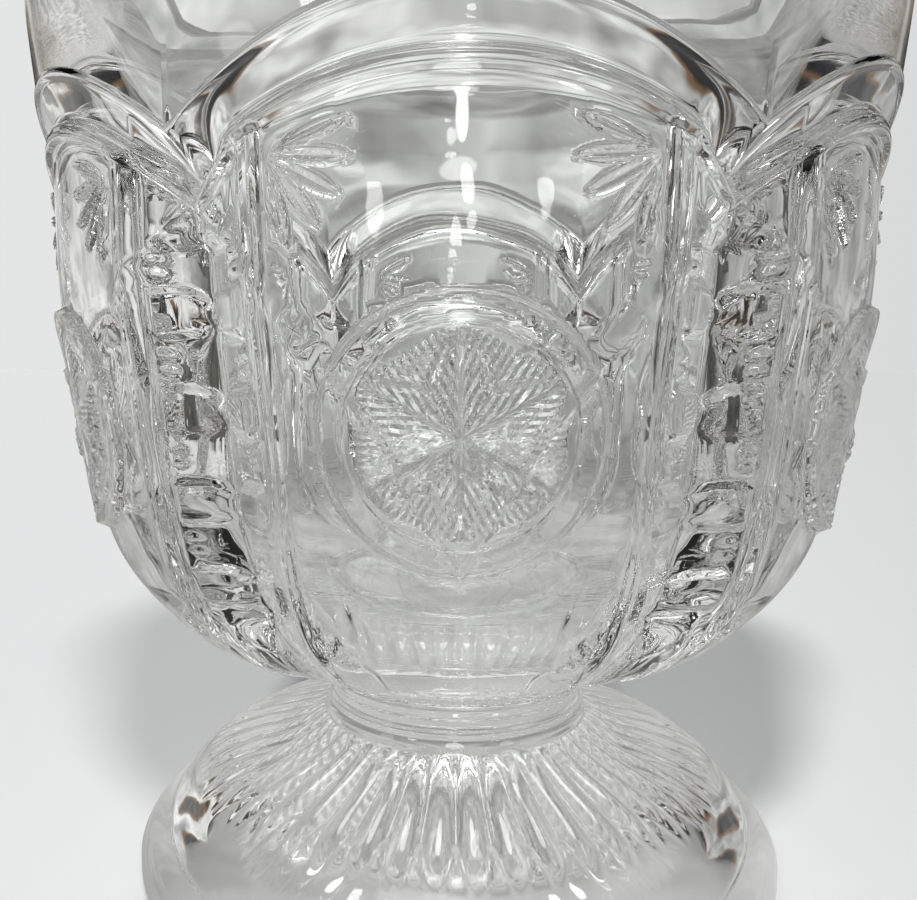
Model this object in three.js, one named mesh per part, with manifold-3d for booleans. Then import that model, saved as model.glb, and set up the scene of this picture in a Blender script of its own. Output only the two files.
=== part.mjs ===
// Lidless sugar bowl in clear pressed glass: a bowl with six arched panels, a milled collar and a rayed foot.
// Millimetres, +Z up. The origin is on the table under the middle of the foot, and panel 0 faces -Y.
import * as THREE from 'three';
import { mergeVertices } from 'three/addons/utils/BufferGeometryUtils.js';
import Module from 'manifold-3d';

const wasm = await Module();
wasm.setup();

const DEG = Math.PI / 180;

// Overall heights
const RIM_HEIGHT = 120;
const CROSSING_HEIGHT = 85;
const PANEL_FOOT_HEIGHT = 38.2;
const COLLAR_TOP = 29.8;
const COLLAR_FOOT = 20.5;

// Panels and the grooves between them
const PANEL_COUNT = 6;
const PANEL_RADIUS = 52.7;
const PANEL_FOOT_BEVEL = 1;
const RECESS_DEPTH = 1;
const GROOVE_DEPTH = 5.4;
const GROOVE_SIDE_DEPTH = 2.4;
const GROOVE_TOP = 80.5;
const GROOVE_TOP_STEP = 0.6;
const GROOVE_FOOT_DEPTH = 1;
const GROOVE_RUN_IN = 2;
const GROOVE_RUN_OUT = 6;
const VALLEY_DEPTH = 3.8;
const FRAME_RISE_WIDTH = 0.9;
const GROOVE_WALL_WIDTH = 1.5;
const FRAME_INNER_TOP = 19.4 * DEG;
const FRAME_INNER_FOOT = 18.6 * DEG;
const FRAME_OUTER_TOP = 22.8 * DEG;
const FRAME_OUTER_FOOT = 21.2 * DEG;

// Bowl wall above the arches, set back a little from the crest of the panels
const RIM_RADIUS = 55;
const SHOULDER_SETBACK = 0.1;
const SHOULDER_RADIUS = PANEL_RADIUS - SHOULDER_SETBACK;
const RIM_ROUNDING = 1.1;

// Arches: the outer edge is flush with the wall, the inner ridge ends the splay
const ARCH_RISE_OUTER = 15.2;
const ARCH_SPRING_OUTER = 5.4;
const ARCH_RISE_INNER = 9.6;
const ARCH_PROUD = 0.35;
const ARCH_EDGE_WIDTH = 0.8;
const RIDGE_PROUD = 0.7;
const RIDGE_WIDTH = 1.4;
const SPLAY_DEPTH = 1.6;

// Inside of the bowl
const GROOVE_WALL = 2.9;
const LID_LEDGE_DEPTH = 5;
const LID_LEDGE_WIDTH = 2.6;
const RIM_WALL = 3.4;
const CAVITY_FLOOR = 37;
const CAVITY_CORNER = 24;
const CAVITY_TAPER = 0.8;
const CAVITY_BOTTOM_STEPS = 5;
const MOUTH_FOOT = 100;

// Medallion
const MEDALLION_HEIGHT = 63.3;
const MEDALLION_RADIUS = 12.9;
const MEDALLION_WIDENING = 1.07;
const MEDALLION_RING_INNER = 10.3;
const MEDALLION_PROUD = 1.1;
const MEDALLION_SIDE = 0.44;
const MEDALLION_FALL = 0.2;
const MEDALLION_BURIED = 1.5;
const MEDALLION_SUNK = 0.5;
const MEDALLION_BEVEL = 0.8;
const MEDALLION_SIDES = 20;
const STAR_ARMS = 6;
const STAR_RADIUS = 9.2;
const STAR_WAIST = 3;
const STAR_HEIGHT = 1;

// Fan leaves in the panel corners
const LEAVES = 5;
const LEAF_LENGTH = 7.6;
const LEAF_WIDTH = 2;
const FAN_HIGHEST = 19 * DEG;
const FAN_LOWEST = -75 * DEG;
const LEAF_HEIGHT = 0.9;
const LEAF_START = 0.6;
const FAN_RISE = 2.6;
const FAN_INSET = 0.4;

// Scallops: half-round pads on both slopes of each groove, with a small tooth between them
const LOBES = 4;
const LOBE_RADIUS = 2.5;
const LOBE_STEPS = 4;
const LOBE_PITCH = 9.6;
const LOBE_TOP_HEIGHT = 74.6;
const LOBE_GAP = 0.35;
const LOBE_PROUD = 1;
const LOBE_BURIED = 1;
const TOOTH_LENGTH = 1.3;
const TOOTH_WIDTH = 1.2;
const SCALLOP_ROOT = 1.2;

// Collar: milled disc and ringed neck
const COLLAR_DISC_RADIUS = 20;
const COLLAR_DISC_THICKNESS = 2.4;
const COLLAR_TEETH_PER_PANEL = 14;
const COLLAR_TOOTH_DEPTH = 0.5;
const NECK_RADIUS = 17.6;
const NECK_RING_PROUD = 0.5;
const NECK_RINGS = 3;
const NECK_BURIED = 0.5;
const NECK_SIDES = 36;

// Foot
const FOOT_RADIUS = 44.5;
const FOOT_EDGE = 4;
const FOOT_TOP_RADIUS = 18.9;
const FOOT_RAYS = 48;
const RAY_OUTER_RADIUS = 37;
const RAY_DEPTH = 0.8;
const FOOT_HOLLOW = 6;
const FOOT_RING_INNER = 35;
const FOOT_RING_OUTER = 43.2;
const FOOT_RING_CHAMFER = 1.3;

const GLASS = { color: 0xdfe3e2, roughness: 0.04, metalness: 0 };
const SECTOR = 2 * Math.PI / PANEL_COUNT;

function lerp(a, b, t) {
  return a + (b - a) * t;
}

function smooth(t) {
  const s = THREE.MathUtils.clamp(t, 0, 1);
  return s * s * (3 - 2 * s);
}

// Point at radius r and height z, with angle 0 facing -Y and growing towards +X.
function polar(r, angle, z) {
  return new THREE.Vector3(r * Math.sin(angle), -r * Math.cos(angle), z);
}

function toSolid(geometry) {
  const bare = geometry.clone();
  bare.deleteAttribute('normal');
  bare.deleteAttribute('uv');
  const merged = mergeVertices(bare, 1e-4);
  return new wasm.Manifold(new wasm.Mesh({
    numProp: 3,
    vertProperties: new Float32Array(merged.attributes.position.array),
    triVerts: new Uint32Array(merged.index.array),
  }));
}

function toGeometry(solid) {
  const mesh = solid.getMesh();
  const geometry = new THREE.BufferGeometry();
  geometry.setAttribute('position', new THREE.BufferAttribute(new Float32Array(mesh.vertProperties), 3));
  geometry.setIndex(new THREE.BufferAttribute(new Uint32Array(mesh.triVerts), 1));
  geometry.computeVertexNormals();
  return geometry;
}

// A lathe whose vertices are then placed one by one: place(column, row) gives each point.
function shapedLathe(rows, columns, place) {
  const onAxis = j => j === 0 || j === rows - 1;
  const profile = Array.from({ length: rows }, (_, j) => new THREE.Vector2(onAxis(j) ? 0 : 1, j));
  const geometry = new THREE.LatheGeometry(profile, columns);
  const position = geometry.attributes.position;
  for (let i = 0; i <= columns; i++) {
    for (let j = 0; j < rows; j++) {
      const p = place(i % columns, j);
      position.setXYZ(i * rows + j, p.x, p.y, p.z);
    }
  }
  return geometry;
}

// Side outline of the belly. Each pair is the share of the way out from the collar's edge to the panels' full
// radius, and of the way up from the collar's top to the crossing of the arches.
const BELLY = [
  [0, 0], [0.153, 0.0145], [0.306, 0.04], [0.459, 0.08], [0.599, 0.141], [0.728, 0.217],
  [0.826, 0.315], [0.881, 0.431], [0.92, 0.565], [0.957, 0.71], [0.991, 0.855], [1, 1],
];
const panelCurve = new THREE.SplineCurve([
  ...BELLY.map(([out, up]) => new THREE.Vector2(
    lerp(COLLAR_DISC_RADIUS, PANEL_RADIUS, out),
    lerp(COLLAR_TOP, CROSSING_HEIGHT, up),
  )),
  new THREE.Vector2(PANEL_RADIUS, CROSSING_HEIGHT + ARCH_RISE_OUTER),
]);
const panelSamples = panelCurve.getPoints(220);

function panelRadius(z) {
  for (let k = 1; k < panelSamples.length; k++) {
    if (panelSamples[k].y >= z) {
      const a = panelSamples[k - 1];
      const b = panelSamples[k];
      return lerp(a.x, b.x, THREE.MathUtils.clamp((z - a.y) / (b.y - a.y), 0, 1));
    }
  }
  return PANEL_RADIUS;
}

// Heights of the two arch lines at an angle from the panel's middle.
function outerArch(angle) {
  const t = angle / (SECTOR / 2);
  return CROSSING_HEIGHT + lerp(ARCH_RISE_OUTER, ARCH_SPRING_OUTER, t * t);
}

function innerArch(angle) {
  const t = angle / (SECTOR / 2);
  return CROSSING_HEIGHT + ARCH_RISE_INNER * (1 - Math.abs(t) ** 2.2);
}

function frameInner(z) {
  const t = (z - PANEL_FOOT_HEIGHT) / (CROSSING_HEIGHT - PANEL_FOOT_HEIGHT);
  return lerp(FRAME_INNER_FOOT, FRAME_INNER_TOP, THREE.MathUtils.clamp(t, 0, 1));
}

function frameOuter(z) {
  const t = (z - PANEL_FOOT_HEIGHT) / (CROSSING_HEIGHT - PANEL_FOOT_HEIGHT);
  return lerp(FRAME_OUTER_FOOT, FRAME_OUTER_TOP, Math.sqrt(THREE.MathUtils.clamp(t, 0, 1)));
}

// Columns of one half panel, from its middle to the groove's middle. Each has an angle and a level.
const MIDDLE = 'middle';
const FRAME = 'frame';
const SLOPE = 'slope';
const GROOVE = 'groove';
function halfColumns(z) {
  const inner = frameInner(z);
  const outer = frameOuter(z);
  return [
    { angle: 0, level: MIDDLE },
    { angle: inner / 2, level: MIDDLE },
    { angle: inner, level: MIDDLE },
    { angle: inner + FRAME_RISE_WIDTH / PANEL_RADIUS, level: FRAME },
    { angle: outer, level: FRAME },
    { angle: outer + GROOVE_WALL_WIDTH / PANEL_RADIUS, level: SLOPE },
    { angle: SECTOR / 2, level: GROOVE },
  ];
}

const HALF = halfColumns(CROSSING_HEIGHT).length - 1;
const BOWL_COLUMNS = PANEL_COUNT * 2 * HALF;

// Signed column within its panel, and that panel's number.
function columnPlace(i) {
  const shifted = (i + HALF) % BOWL_COLUMNS;
  return { panel: Math.floor(shifted / (2 * HALF)), step: shifted % (2 * HALF) - HALF };
}

function bowlPoint(i, z, radiusAt, heightAt) {
  const { panel, step } = columnPlace(i);
  const column = halfColumns(z)[Math.abs(step)];
  const local = Math.sign(step) * column.angle;
  const height = heightAt(local);
  return polar(radiusAt(column, local, height), panel * SECTOR + local, height);
}

// How far the surface has fallen from the panel's crest into the V between two panels.
function valley(local) {
  const start = FRAME_OUTER_TOP;
  return VALLEY_DEPTH * smooth((Math.abs(local) - start) / (SECTOR / 2 - start) * 1.15);
}

function wallRadius(z) {
  const t = (z - CROSSING_HEIGHT) / (RIM_HEIGHT - CROSSING_HEIGHT);
  return lerp(SHOULDER_RADIUS, RIM_RADIUS, smooth(t));
}

function panelLevel(column, z) {
  const crest = panelRadius(z);
  if (column.level === MIDDLE) {
    return crest - RECESS_DEPTH;
  }
  if (column.level === FRAME) {
    return crest;
  }
  const fade = smooth((z - PANEL_FOOT_HEIGHT + GROOVE_RUN_IN) / (GROOVE_RUN_IN + GROOVE_RUN_OUT));
  if (column.level === SLOPE) {
    return crest - lerp(GROOVE_FOOT_DEPTH, GROOVE_SIDE_DEPTH, fade);
  }
  return crest - lerp(GROOVE_FOOT_DEPTH, z > GROOVE_TOP ? VALLEY_DEPTH : GROOVE_DEPTH, fade);
}

// Rows of the bowl, from the middle of its base up the outside, over the rim and down inside.
const flat = z => () => z;
const plain = r => () => r;
const BASE_ROWS = [1 / 6, 0.55];
const PANEL_ROWS = [0, 0.09, 0.21, 0.375, 0.56, 0.775, 1];
const WALL_ROW = 0.47;
const bowlRows = [
  { z: COLLAR_TOP, r: plain(0) },
  { z: COLLAR_TOP, r: plain(COLLAR_DISC_RADIUS) },
];
for (const share of BASE_ROWS) {
  bowlRows.push({ z: lerp(COLLAR_TOP, PANEL_FOOT_HEIGHT, share), r: (c, a, z) => panelRadius(z) });
}
bowlRows.push({ z: PANEL_FOOT_HEIGHT - PANEL_FOOT_BEVEL, r: (c, a, z) => panelRadius(z) });
for (const share of PANEL_ROWS) {
  bowlRows.push({ z: lerp(PANEL_FOOT_HEIGHT, GROOVE_TOP, share), r: (c, a, z) => panelLevel(c, z) });
}
bowlRows.push(
  { z: GROOVE_TOP + GROOVE_TOP_STEP, r: (c, a, z) => panelLevel(c, z) },
  {
    z: CROSSING_HEIGHT,
    h: a => innerArch(a) - RIDGE_WIDTH,
    r: (c, a, z) => (c.level === MIDDLE ? panelRadius(z) - RECESS_DEPTH : panelRadius(z) - valley(a)),
  },
  { z: CROSSING_HEIGHT, h: a => innerArch(a) - RIDGE_WIDTH / 2, r: (c, a, z) => ridgeRadius(a, z) },
  { z: CROSSING_HEIGHT, h: innerArch, r: (c, a, z) => ridgeRadius(a, z) },
  {
    z: CROSSING_HEIGHT,
    h: a => lerp(innerArch(a), outerArch(a), 0.25),
    r: (c, a) => wallRadius(outerArch(a)) - SPLAY_DEPTH - valley(a) * 0.75,
  },
  { z: CROSSING_HEIGHT, h: outerArch, r: (c, a, z) => wallRadius(z) + ARCH_PROUD },
  { z: CROSSING_HEIGHT, h: a => outerArch(a) + ARCH_EDGE_WIDTH, r: (c, a, z) => wallRadius(z) },
  {
    z: lerp(CROSSING_HEIGHT + ARCH_RISE_OUTER, RIM_HEIGHT - RIM_ROUNDING, WALL_ROW),
    r: (c, a, z) => wallRadius(z),
  },
  { z: RIM_HEIGHT - RIM_ROUNDING, r: plain(RIM_RADIUS) },
  { z: RIM_HEIGHT, r: plain(RIM_RADIUS - RIM_ROUNDING) },
  { z: RIM_HEIGHT, r: plain(RIM_RADIUS - RIM_WALL + RIM_ROUNDING) },
  { z: RIM_HEIGHT - RIM_ROUNDING, r: plain(RIM_RADIUS - RIM_WALL) },
  { z: RIM_HEIGHT - LID_LEDGE_DEPTH, r: plain(RIM_RADIUS - RIM_WALL) },
  { z: RIM_HEIGHT - LID_LEDGE_DEPTH, r: plain(RIM_RADIUS - RIM_WALL - LID_LEDGE_WIDTH) },
);

function ridgeRadius(a, z) {
  return wallRadius(z) - SPLAY_DEPTH + RIDGE_PROUD - valley(a);
}

// Inside: a plain wall that keeps its thickness behind the grooves, and a round bottom.
const CAVITY_RADIUS = PANEL_RADIUS - GROOVE_DEPTH - GROOVE_WALL;
bowlRows.push({ z: MOUTH_FOOT, r: plain(CAVITY_RADIUS + CAVITY_TAPER) });
for (let k = 0; k < CAVITY_BOTTOM_STEPS; k++) {
  const turn = k / CAVITY_BOTTOM_STEPS * Math.PI / 2;
  const r = CAVITY_RADIUS - CAVITY_TAPER - (CAVITY_CORNER + CAVITY_TAPER) * (1 - Math.cos(turn));
  bowlRows.push({ z: CAVITY_FLOOR + CAVITY_CORNER * (1 - Math.sin(turn)), r: plain(r) });
}
bowlRows.push({ z: CAVITY_FLOOR, r: plain(0) });

function bowlBody() {
  return toSolid(shapedLathe(bowlRows.length, BOWL_COLUMNS, (i, j) => {
    const row = bowlRows[j];
    return bowlPoint(i, row.z, row.r, row.h ?? flat(row.z));
  }));
}

// Wraps a flat relief onto a panel: x runs along the arc, y is the height and z stands off the recess floor.
function wrapOnPanel(geometry, panel) {
  const position = geometry.attributes.position;
  for (let k = 0; k < position.count; k++) {
    const height = position.getY(k);
    const r = panelRadius(height) - RECESS_DEPTH + position.getZ(k);
    const p = polar(r, panel * SECTOR + position.getX(k) / PANEL_RADIUS, height);
    position.setXYZ(k, p.x, p.y, p.z);
  }
  return toSolid(geometry);
}

function medallion(panel) {
  const profile = [
    new THREE.Vector2(0, -MEDALLION_BURIED),
    new THREE.Vector2(MEDALLION_RADIUS, -MEDALLION_BURIED),
    new THREE.Vector2(MEDALLION_RADIUS, MEDALLION_SIDE),
    new THREE.Vector2(MEDALLION_RADIUS - MEDALLION_BEVEL, MEDALLION_PROUD),
    new THREE.Vector2(MEDALLION_RING_INNER + MEDALLION_BEVEL, MEDALLION_PROUD - MEDALLION_FALL),
    new THREE.Vector2(MEDALLION_RING_INNER, MEDALLION_SUNK),
    new THREE.Vector2(0, MEDALLION_SUNK),
  ];
  const disc = new THREE.LatheGeometry(profile, MEDALLION_SIDES);
  disc.rotateX(Math.PI / 2);
  disc.scale(MEDALLION_WIDENING, 1, 1);
  disc.translate(0, MEDALLION_HEIGHT, 0);
  return wrapOnPanel(disc, panel);
}

// Five pointed leaves with a ridge along each, spread from an upper corner of the panel.
function fan(panel, side) {
  const rootHeight = CROSSING_HEIGHT + FAN_RISE;
  const rootX = side * (frameInner(rootHeight) * PANEL_RADIUS - FAN_INSET);
  return Array.from({ length: LEAVES }, (_, k) => {
    const angle = lerp(FAN_LOWEST, FAN_HIGHEST, k / (LEAVES - 1));
    const leaf = new THREE.OctahedronGeometry(0.5);
    leaf.scale(LEAF_LENGTH, LEAF_WIDTH, LEAF_HEIGHT * 2);
    leaf.translate(LEAF_LENGTH / 2 + LEAF_START, 0, 0);
    leaf.rotateZ(side < 0 ? angle : Math.PI - angle);
    leaf.translate(rootX, rootHeight, 0);
    return wrapOnPanel(leaf, panel);
  });
}

// Six-pointed star: a low cone whose every second base corner is drawn in to the waist.
function star(panel) {
  const cone = new THREE.ConeGeometry(1, STAR_HEIGHT * 2, STAR_ARMS * 2);
  const position = cone.attributes.position;
  for (let k = 0; k < position.count; k++) {
    const x = position.getX(k);
    const z = position.getZ(k);
    const point = Math.round(Math.atan2(x, z) / (Math.PI / STAR_ARMS));
    const reach = point % 2 === 0 ? STAR_RADIUS : STAR_WAIST;
    position.setXYZ(k, x * reach, position.getY(k), z * reach);
  }
  cone.rotateX(Math.PI / 2);
  cone.translate(0, MEDALLION_HEIGHT, MEDALLION_SUNK);
  return wrapOnPanel(cone, panel);
}

// Height of the point that lies the given distance down the side of the panel from a starting height.
function heightDown(start, distance) {
  let left = distance;
  for (let k = panelSamples.length - 1; k > 0; k--) {
    const upper = panelSamples[k];
    const step = upper.distanceTo(panelSamples[k - 1]);
    if (upper.y <= start) {
      left -= step;
    }
    if (left <= 0) {
      return upper.y;
    }
  }
  return COLLAR_TOP;
}

// Scalloped pad that lies on one slope of a groove, with the tips of its lobes at the bottom of the V.
function scallopedPad(panel, side) {
  const edge = height => frameOuter(height) * PANEL_RADIUS + GROOVE_WALL_WIDTH * 0.6;
  const middle = PANEL_RADIUS * SECTOR / 2;
  const points = [];
  for (let k = 0; k < LOBES; k++) {
    for (let n = 0; n <= LOBE_STEPS; n++) {
      const turn = Math.PI * (0.5 - n / LOBE_STEPS);
      const reach = middle - LOBE_GAP - LOBE_RADIUS * (1 - Math.cos(turn));
      const fall = k * LOBE_PITCH + LOBE_RADIUS * (1 - Math.sin(turn));
      points.push([reach, heightDown(LOBE_TOP_HEIGHT + LOBE_RADIUS, fall)]);
    }
    if (k < LOBES - 1) {
      const gap = heightDown(LOBE_TOP_HEIGHT, (k + 0.5) * LOBE_PITCH);
      points.push([edge(gap), gap + TOOTH_WIDTH / 2]);
      points.push([edge(gap) + TOOTH_LENGTH, gap]);
      points.push([edge(gap), gap - TOOTH_WIDTH / 2]);
    }
  }
  const top = points[0][1];
  const foot = points[points.length - 1][1];
  points.push([edge(foot) - SCALLOP_ROOT, foot], [edge(top) - SCALLOP_ROOT, top]);
  const shape = new THREE.Shape(points.map(([x, y]) => new THREE.Vector2(side * x, y)));
  const pad = new THREE.ExtrudeGeometry(shape, { depth: LOBE_PROUD + LOBE_BURIED, bevelEnabled: false });
  const position = pad.attributes.position;
  for (let k = 0; k < position.count; k++) {
    const start = edge(position.getY(k));
    const across = (Math.abs(position.getX(k)) - start) / (middle - start);
    const depth = lerp(GROOVE_SIDE_DEPTH, GROOVE_DEPTH, Math.max(0, across));
    position.setZ(k, position.getZ(k) - LOBE_BURIED + RECESS_DEPTH - depth);
  }
  return wrapOnPanel(pad, panel);
}

function bowlSolid() {
  let solid = bowlBody();
  for (let panel = 0; panel < PANEL_COUNT; panel++) {
    const relief = [medallion(panel), star(panel)];
    for (const side of [-1, 1]) {
      relief.push(...fan(panel, side), scallopedPad(panel, side));
    }
    for (const piece of relief) {
      solid = solid.add(piece);
    }
  }
  return solid;
}

function collarSolid() {
  const discFoot = COLLAR_TOP - COLLAR_DISC_THICKNESS;
  const outline = new THREE.Shape();
  const teeth = PANEL_COUNT * (COLLAR_TEETH_PER_PANEL + 1);
  for (let k = 0; k < teeth * 2; k++) {
    const blank = Math.floor(k / 2) % (COLLAR_TEETH_PER_PANEL + 1) === 0;
    const r = COLLAR_DISC_RADIUS - (k % 2 === 1 && !blank ? COLLAR_TOOTH_DEPTH : 0);
    const angle = (k - 0.5) * Math.PI / teeth;
    outline[k === 0 ? 'moveTo' : 'lineTo'](r * Math.cos(angle), r * Math.sin(angle));
  }
  const disc = new THREE.ExtrudeGeometry(outline, { depth: COLLAR_DISC_THICKNESS, bevelEnabled: false });
  disc.translate(0, 0, discFoot);
  const neckHeight = discFoot - COLLAR_FOOT;
  const profile = [new THREE.Vector2(0, COLLAR_FOOT), new THREE.Vector2(FOOT_TOP_RADIUS, COLLAR_FOOT)];
  const steps = NECK_RINGS * 4;
  for (let k = 1; k < steps; k++) {
    const t = k / steps;
    const cove = lerp(NECK_RADIUS, FOOT_TOP_RADIUS, (2 * t - 1) ** 2);
    const ring = NECK_RING_PROUD * Math.max(0, Math.cos(t * NECK_RINGS * 2 * Math.PI));
    profile.push(new THREE.Vector2(cove + ring * (1 - (2 * t - 1) ** 2), COLLAR_FOOT + t * neckHeight));
  }
  const neckTop = discFoot + NECK_BURIED;
  profile.push(new THREE.Vector2(FOOT_TOP_RADIUS, neckTop), new THREE.Vector2(0, neckTop));
  const neck = new THREE.LatheGeometry(profile, NECK_SIDES);
  neck.rotateX(Math.PI / 2);
  return toSolid(disc).add(toSolid(neck));
}

// Top of the foot: a rayed dome that falls from the collar over a shoulder to the plain rim. Each pair is the
// share of the way out to the rim, and of the way down to its edge.
const DOME = [
  [0, 0], [0.199, 0.127], [0.395, 0.224], [0.57, 0.333],
  [0.707, 0.479], [0.805, 0.648], [0.887, 0.806], [0.961, 0.909],
];
const footCurve = new THREE.SplineCurve(DOME.map(([out, down]) => new THREE.Vector2(
  lerp(FOOT_TOP_RADIUS, FOOT_RADIUS, out),
  lerp(COLLAR_FOOT, FOOT_EDGE, down),
)));
const FOOT_TOP_STEPS = 5;

function footSolid() {
  const rows = [
    new THREE.Vector2(0, FOOT_HOLLOW),
    new THREE.Vector2(FOOT_RING_INNER - FOOT_HOLLOW, FOOT_HOLLOW),
    new THREE.Vector2(FOOT_RING_INNER, 0),
    new THREE.Vector2(FOOT_RING_OUTER, 0),
    new THREE.Vector2(FOOT_RADIUS, FOOT_RING_CHAMFER),
    new THREE.Vector2(FOOT_RADIUS, FOOT_EDGE),
    ...footCurve.getPoints(FOOT_TOP_STEPS).reverse(),
    new THREE.Vector2(0, COLLAR_FOOT),
  ];
  const spread = RAY_OUTER_RADIUS - FOOT_TOP_RADIUS;
  return toSolid(shapedLathe(rows.length, FOOT_RAYS * 2, (i, j) => {
    const { x: r, y: z } = rows[j];
    const along = THREE.MathUtils.clamp((RAY_OUTER_RADIUS - r) / spread, 0, 1);
    const rayed = z > FOOT_EDGE && i % 2 === 1;
    return polar(r, i * Math.PI / FOOT_RAYS, z - (rayed ? RAY_DEPTH * Math.sin(Math.PI * along) : 0));
  }));
}

function part(name, solid) {
  const mesh = new THREE.Mesh(toGeometry(solid), new THREE.MeshStandardMaterial(GLASS));
  mesh.name = name;
  return mesh;
}

const group = new THREE.Group();
group.add(part('bowl', bowlSolid()));
group.add(part('collar', collarSolid()));
group.add(part('foot', footSolid()));

export default group;
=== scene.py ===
"""Lidless sugar bowl in clear pressed glass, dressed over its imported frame.

Lengths inside the classes are millimetres, as on a mould drawing. Each mesh is turned to metres when it is
finished. Angles grow from -Y towards +X, as in the part, and panel 0 faces -Y.
"""

import logging
import math
from dataclasses import dataclass
from enum import Enum
from typing import Callable

import bmesh
import bpy
import numpy as np
from bmesh.types import BMEdge, BMesh, BMVert
from bpy.types import Material, Node, NodeSocket, NodeTree, World
from mathutils import Euler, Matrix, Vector

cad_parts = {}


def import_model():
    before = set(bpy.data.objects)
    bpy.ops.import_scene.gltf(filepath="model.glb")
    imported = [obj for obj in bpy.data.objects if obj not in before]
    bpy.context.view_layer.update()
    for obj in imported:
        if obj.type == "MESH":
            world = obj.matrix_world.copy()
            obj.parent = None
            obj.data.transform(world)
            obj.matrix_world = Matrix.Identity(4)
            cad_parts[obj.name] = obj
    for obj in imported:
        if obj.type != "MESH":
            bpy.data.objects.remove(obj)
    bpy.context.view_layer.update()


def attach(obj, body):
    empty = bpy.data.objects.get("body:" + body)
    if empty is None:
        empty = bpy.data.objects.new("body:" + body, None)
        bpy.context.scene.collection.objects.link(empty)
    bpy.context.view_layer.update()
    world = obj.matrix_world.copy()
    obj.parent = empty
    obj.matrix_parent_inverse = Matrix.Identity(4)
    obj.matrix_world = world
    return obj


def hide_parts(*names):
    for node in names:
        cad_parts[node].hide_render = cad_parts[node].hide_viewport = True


logging.basicConfig(level=logging.INFO, format="%(message)s")
LOG = logging.getLogger("sugar_bowl")

MM = 0.001
FULL_TURN = 2 * math.pi
Array = np.ndarray
Span = tuple[float, float]
Tone = tuple[float, float, float]
MAP_NAME = "ornament"
MAP_UNIT = 100  # millimetres of the panel for one unit of the ornament's map
NOISE_RANGE = (0.32, 0.68)  # where nearly all values of a noise lie
LEAF_SWELL = 1.3  # moves a leaf's widest place towards its tip
LEAF_FULLNESS = 0.7


def smooth(t: Array) -> Array:
    """Soft step from 0 to 1 as t goes from 0 to 1."""
    s = np.clip(t, 0.0, 1.0)
    return s * s * (3 - 2 * s)


def ridge(distance: Array, half: float) -> Array:
    """Rounded ridge, 1 on its line and 0 from half away on."""
    return np.cos(np.clip(distance / half, -1.0, 1.0) * math.pi / 2) ** 2


def mix(low: Array, high: Array, t: Array) -> Array:
    """Straight blend from low to high."""
    return low + (high - low) * t


def spline(points: list[tuple[float, float]], steps: int) -> Array:
    """Samples a Catmull-Rom curve through the points.

    Args:
        points: The points of the outline, as (radius, height).
        steps: How many steps each stretch gets.

    Returns:
        One row for each sample, as (radius, height).
    """
    knots = np.array([points[0], *points, points[-1]], dtype=float)
    t = np.linspace(0, 1, steps, endpoint=False)[:, None]
    out = []
    for k in range(1, len(knots) - 2):
        a, b, c, d = knots[k - 1:k + 3]
        bend = (2 * a - 5 * b + 4 * c - d) * t ** 2
        out.append(0.5 * (2 * b + (c - a) * t + bend + (3 * b - a - 3 * c + d) * t ** 3))
    out.append(knots[-1:])
    return np.concatenate(out)


def lengths_along(curve: Array) -> Array:
    """Running length at each sample of a curve."""
    return np.concatenate([[0.0], np.cumsum(np.hypot(*np.diff(curve, axis=0).T))])


def stations(*parts: tuple[float, float, int]) -> Array:
    """Even steps over each part, given as its start, end and count, and then the last part's end."""
    steps = [np.linspace(low, high, count, endpoint=False) for low, high, count in parts]
    return np.concatenate([*steps, [float(parts[-1][1])]])


def coordinates(bm: BMesh) -> Array:
    """All vertices of a mesh as an array."""
    return np.array([v.co for v in bm.verts])


def place(bm: BMesh, points: Array) -> None:
    """Moves every vertex of a mesh to its row of points."""
    for vertex, point in zip(bm.verts, points):
        vertex.co = point


def polar(radius: Array, angle: Array, height: Array) -> Array:
    """Points at a radius, an angle and a height round the bowl's axis."""
    return np.stack([radius * np.sin(angle), -radius * np.cos(angle), height], axis=1)


def ring_of(edges: list[BMEdge]) -> list[BMVert]:
    """The vertices that a loop of edges joins."""
    return list({vertex for edge in edges for vertex in edge.verts})


def extrude_ring(bm: BMesh, edges: list[BMEdge], radius: float, height: float) -> list[BMEdge]:
    """Extrudes a loop of edges to a new circle round the axis.

    Args:
        bm: The mesh.
        edges: The loop that the new skin starts from.
        radius: The new circle's radius.
        height: The new circle's height.

    Returns:
        The new loop.
    """
    made = bmesh.ops.extrude_edge_only(bm, edges=edges)["geom"]
    for vertex in (item for item in made if isinstance(item, BMVert)):
        turn = math.atan2(vertex.co.x, -vertex.co.y)
        vertex.co = (radius * math.sin(turn), -radius * math.cos(turn), height)
    return [item for item in made if isinstance(item, BMEdge)]


def top_loop(bm: BMesh) -> list[BMEdge]:
    """The highest open loop of a mesh."""
    edges = [edge for edge in bm.edges if edge.is_boundary]
    middle = sum(edge.verts[0].co.z for edge in edges) / len(edges)
    return [edge for edge in edges if edge.verts[0].co.z > middle]


def add_object(name: str, data: bpy.types.ID) -> bpy.types.Object:
    """Adds an object with its data to the scene."""
    made = bpy.data.objects.new(name, data)
    bpy.context.scene.collection.objects.link(made)
    return made


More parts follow.
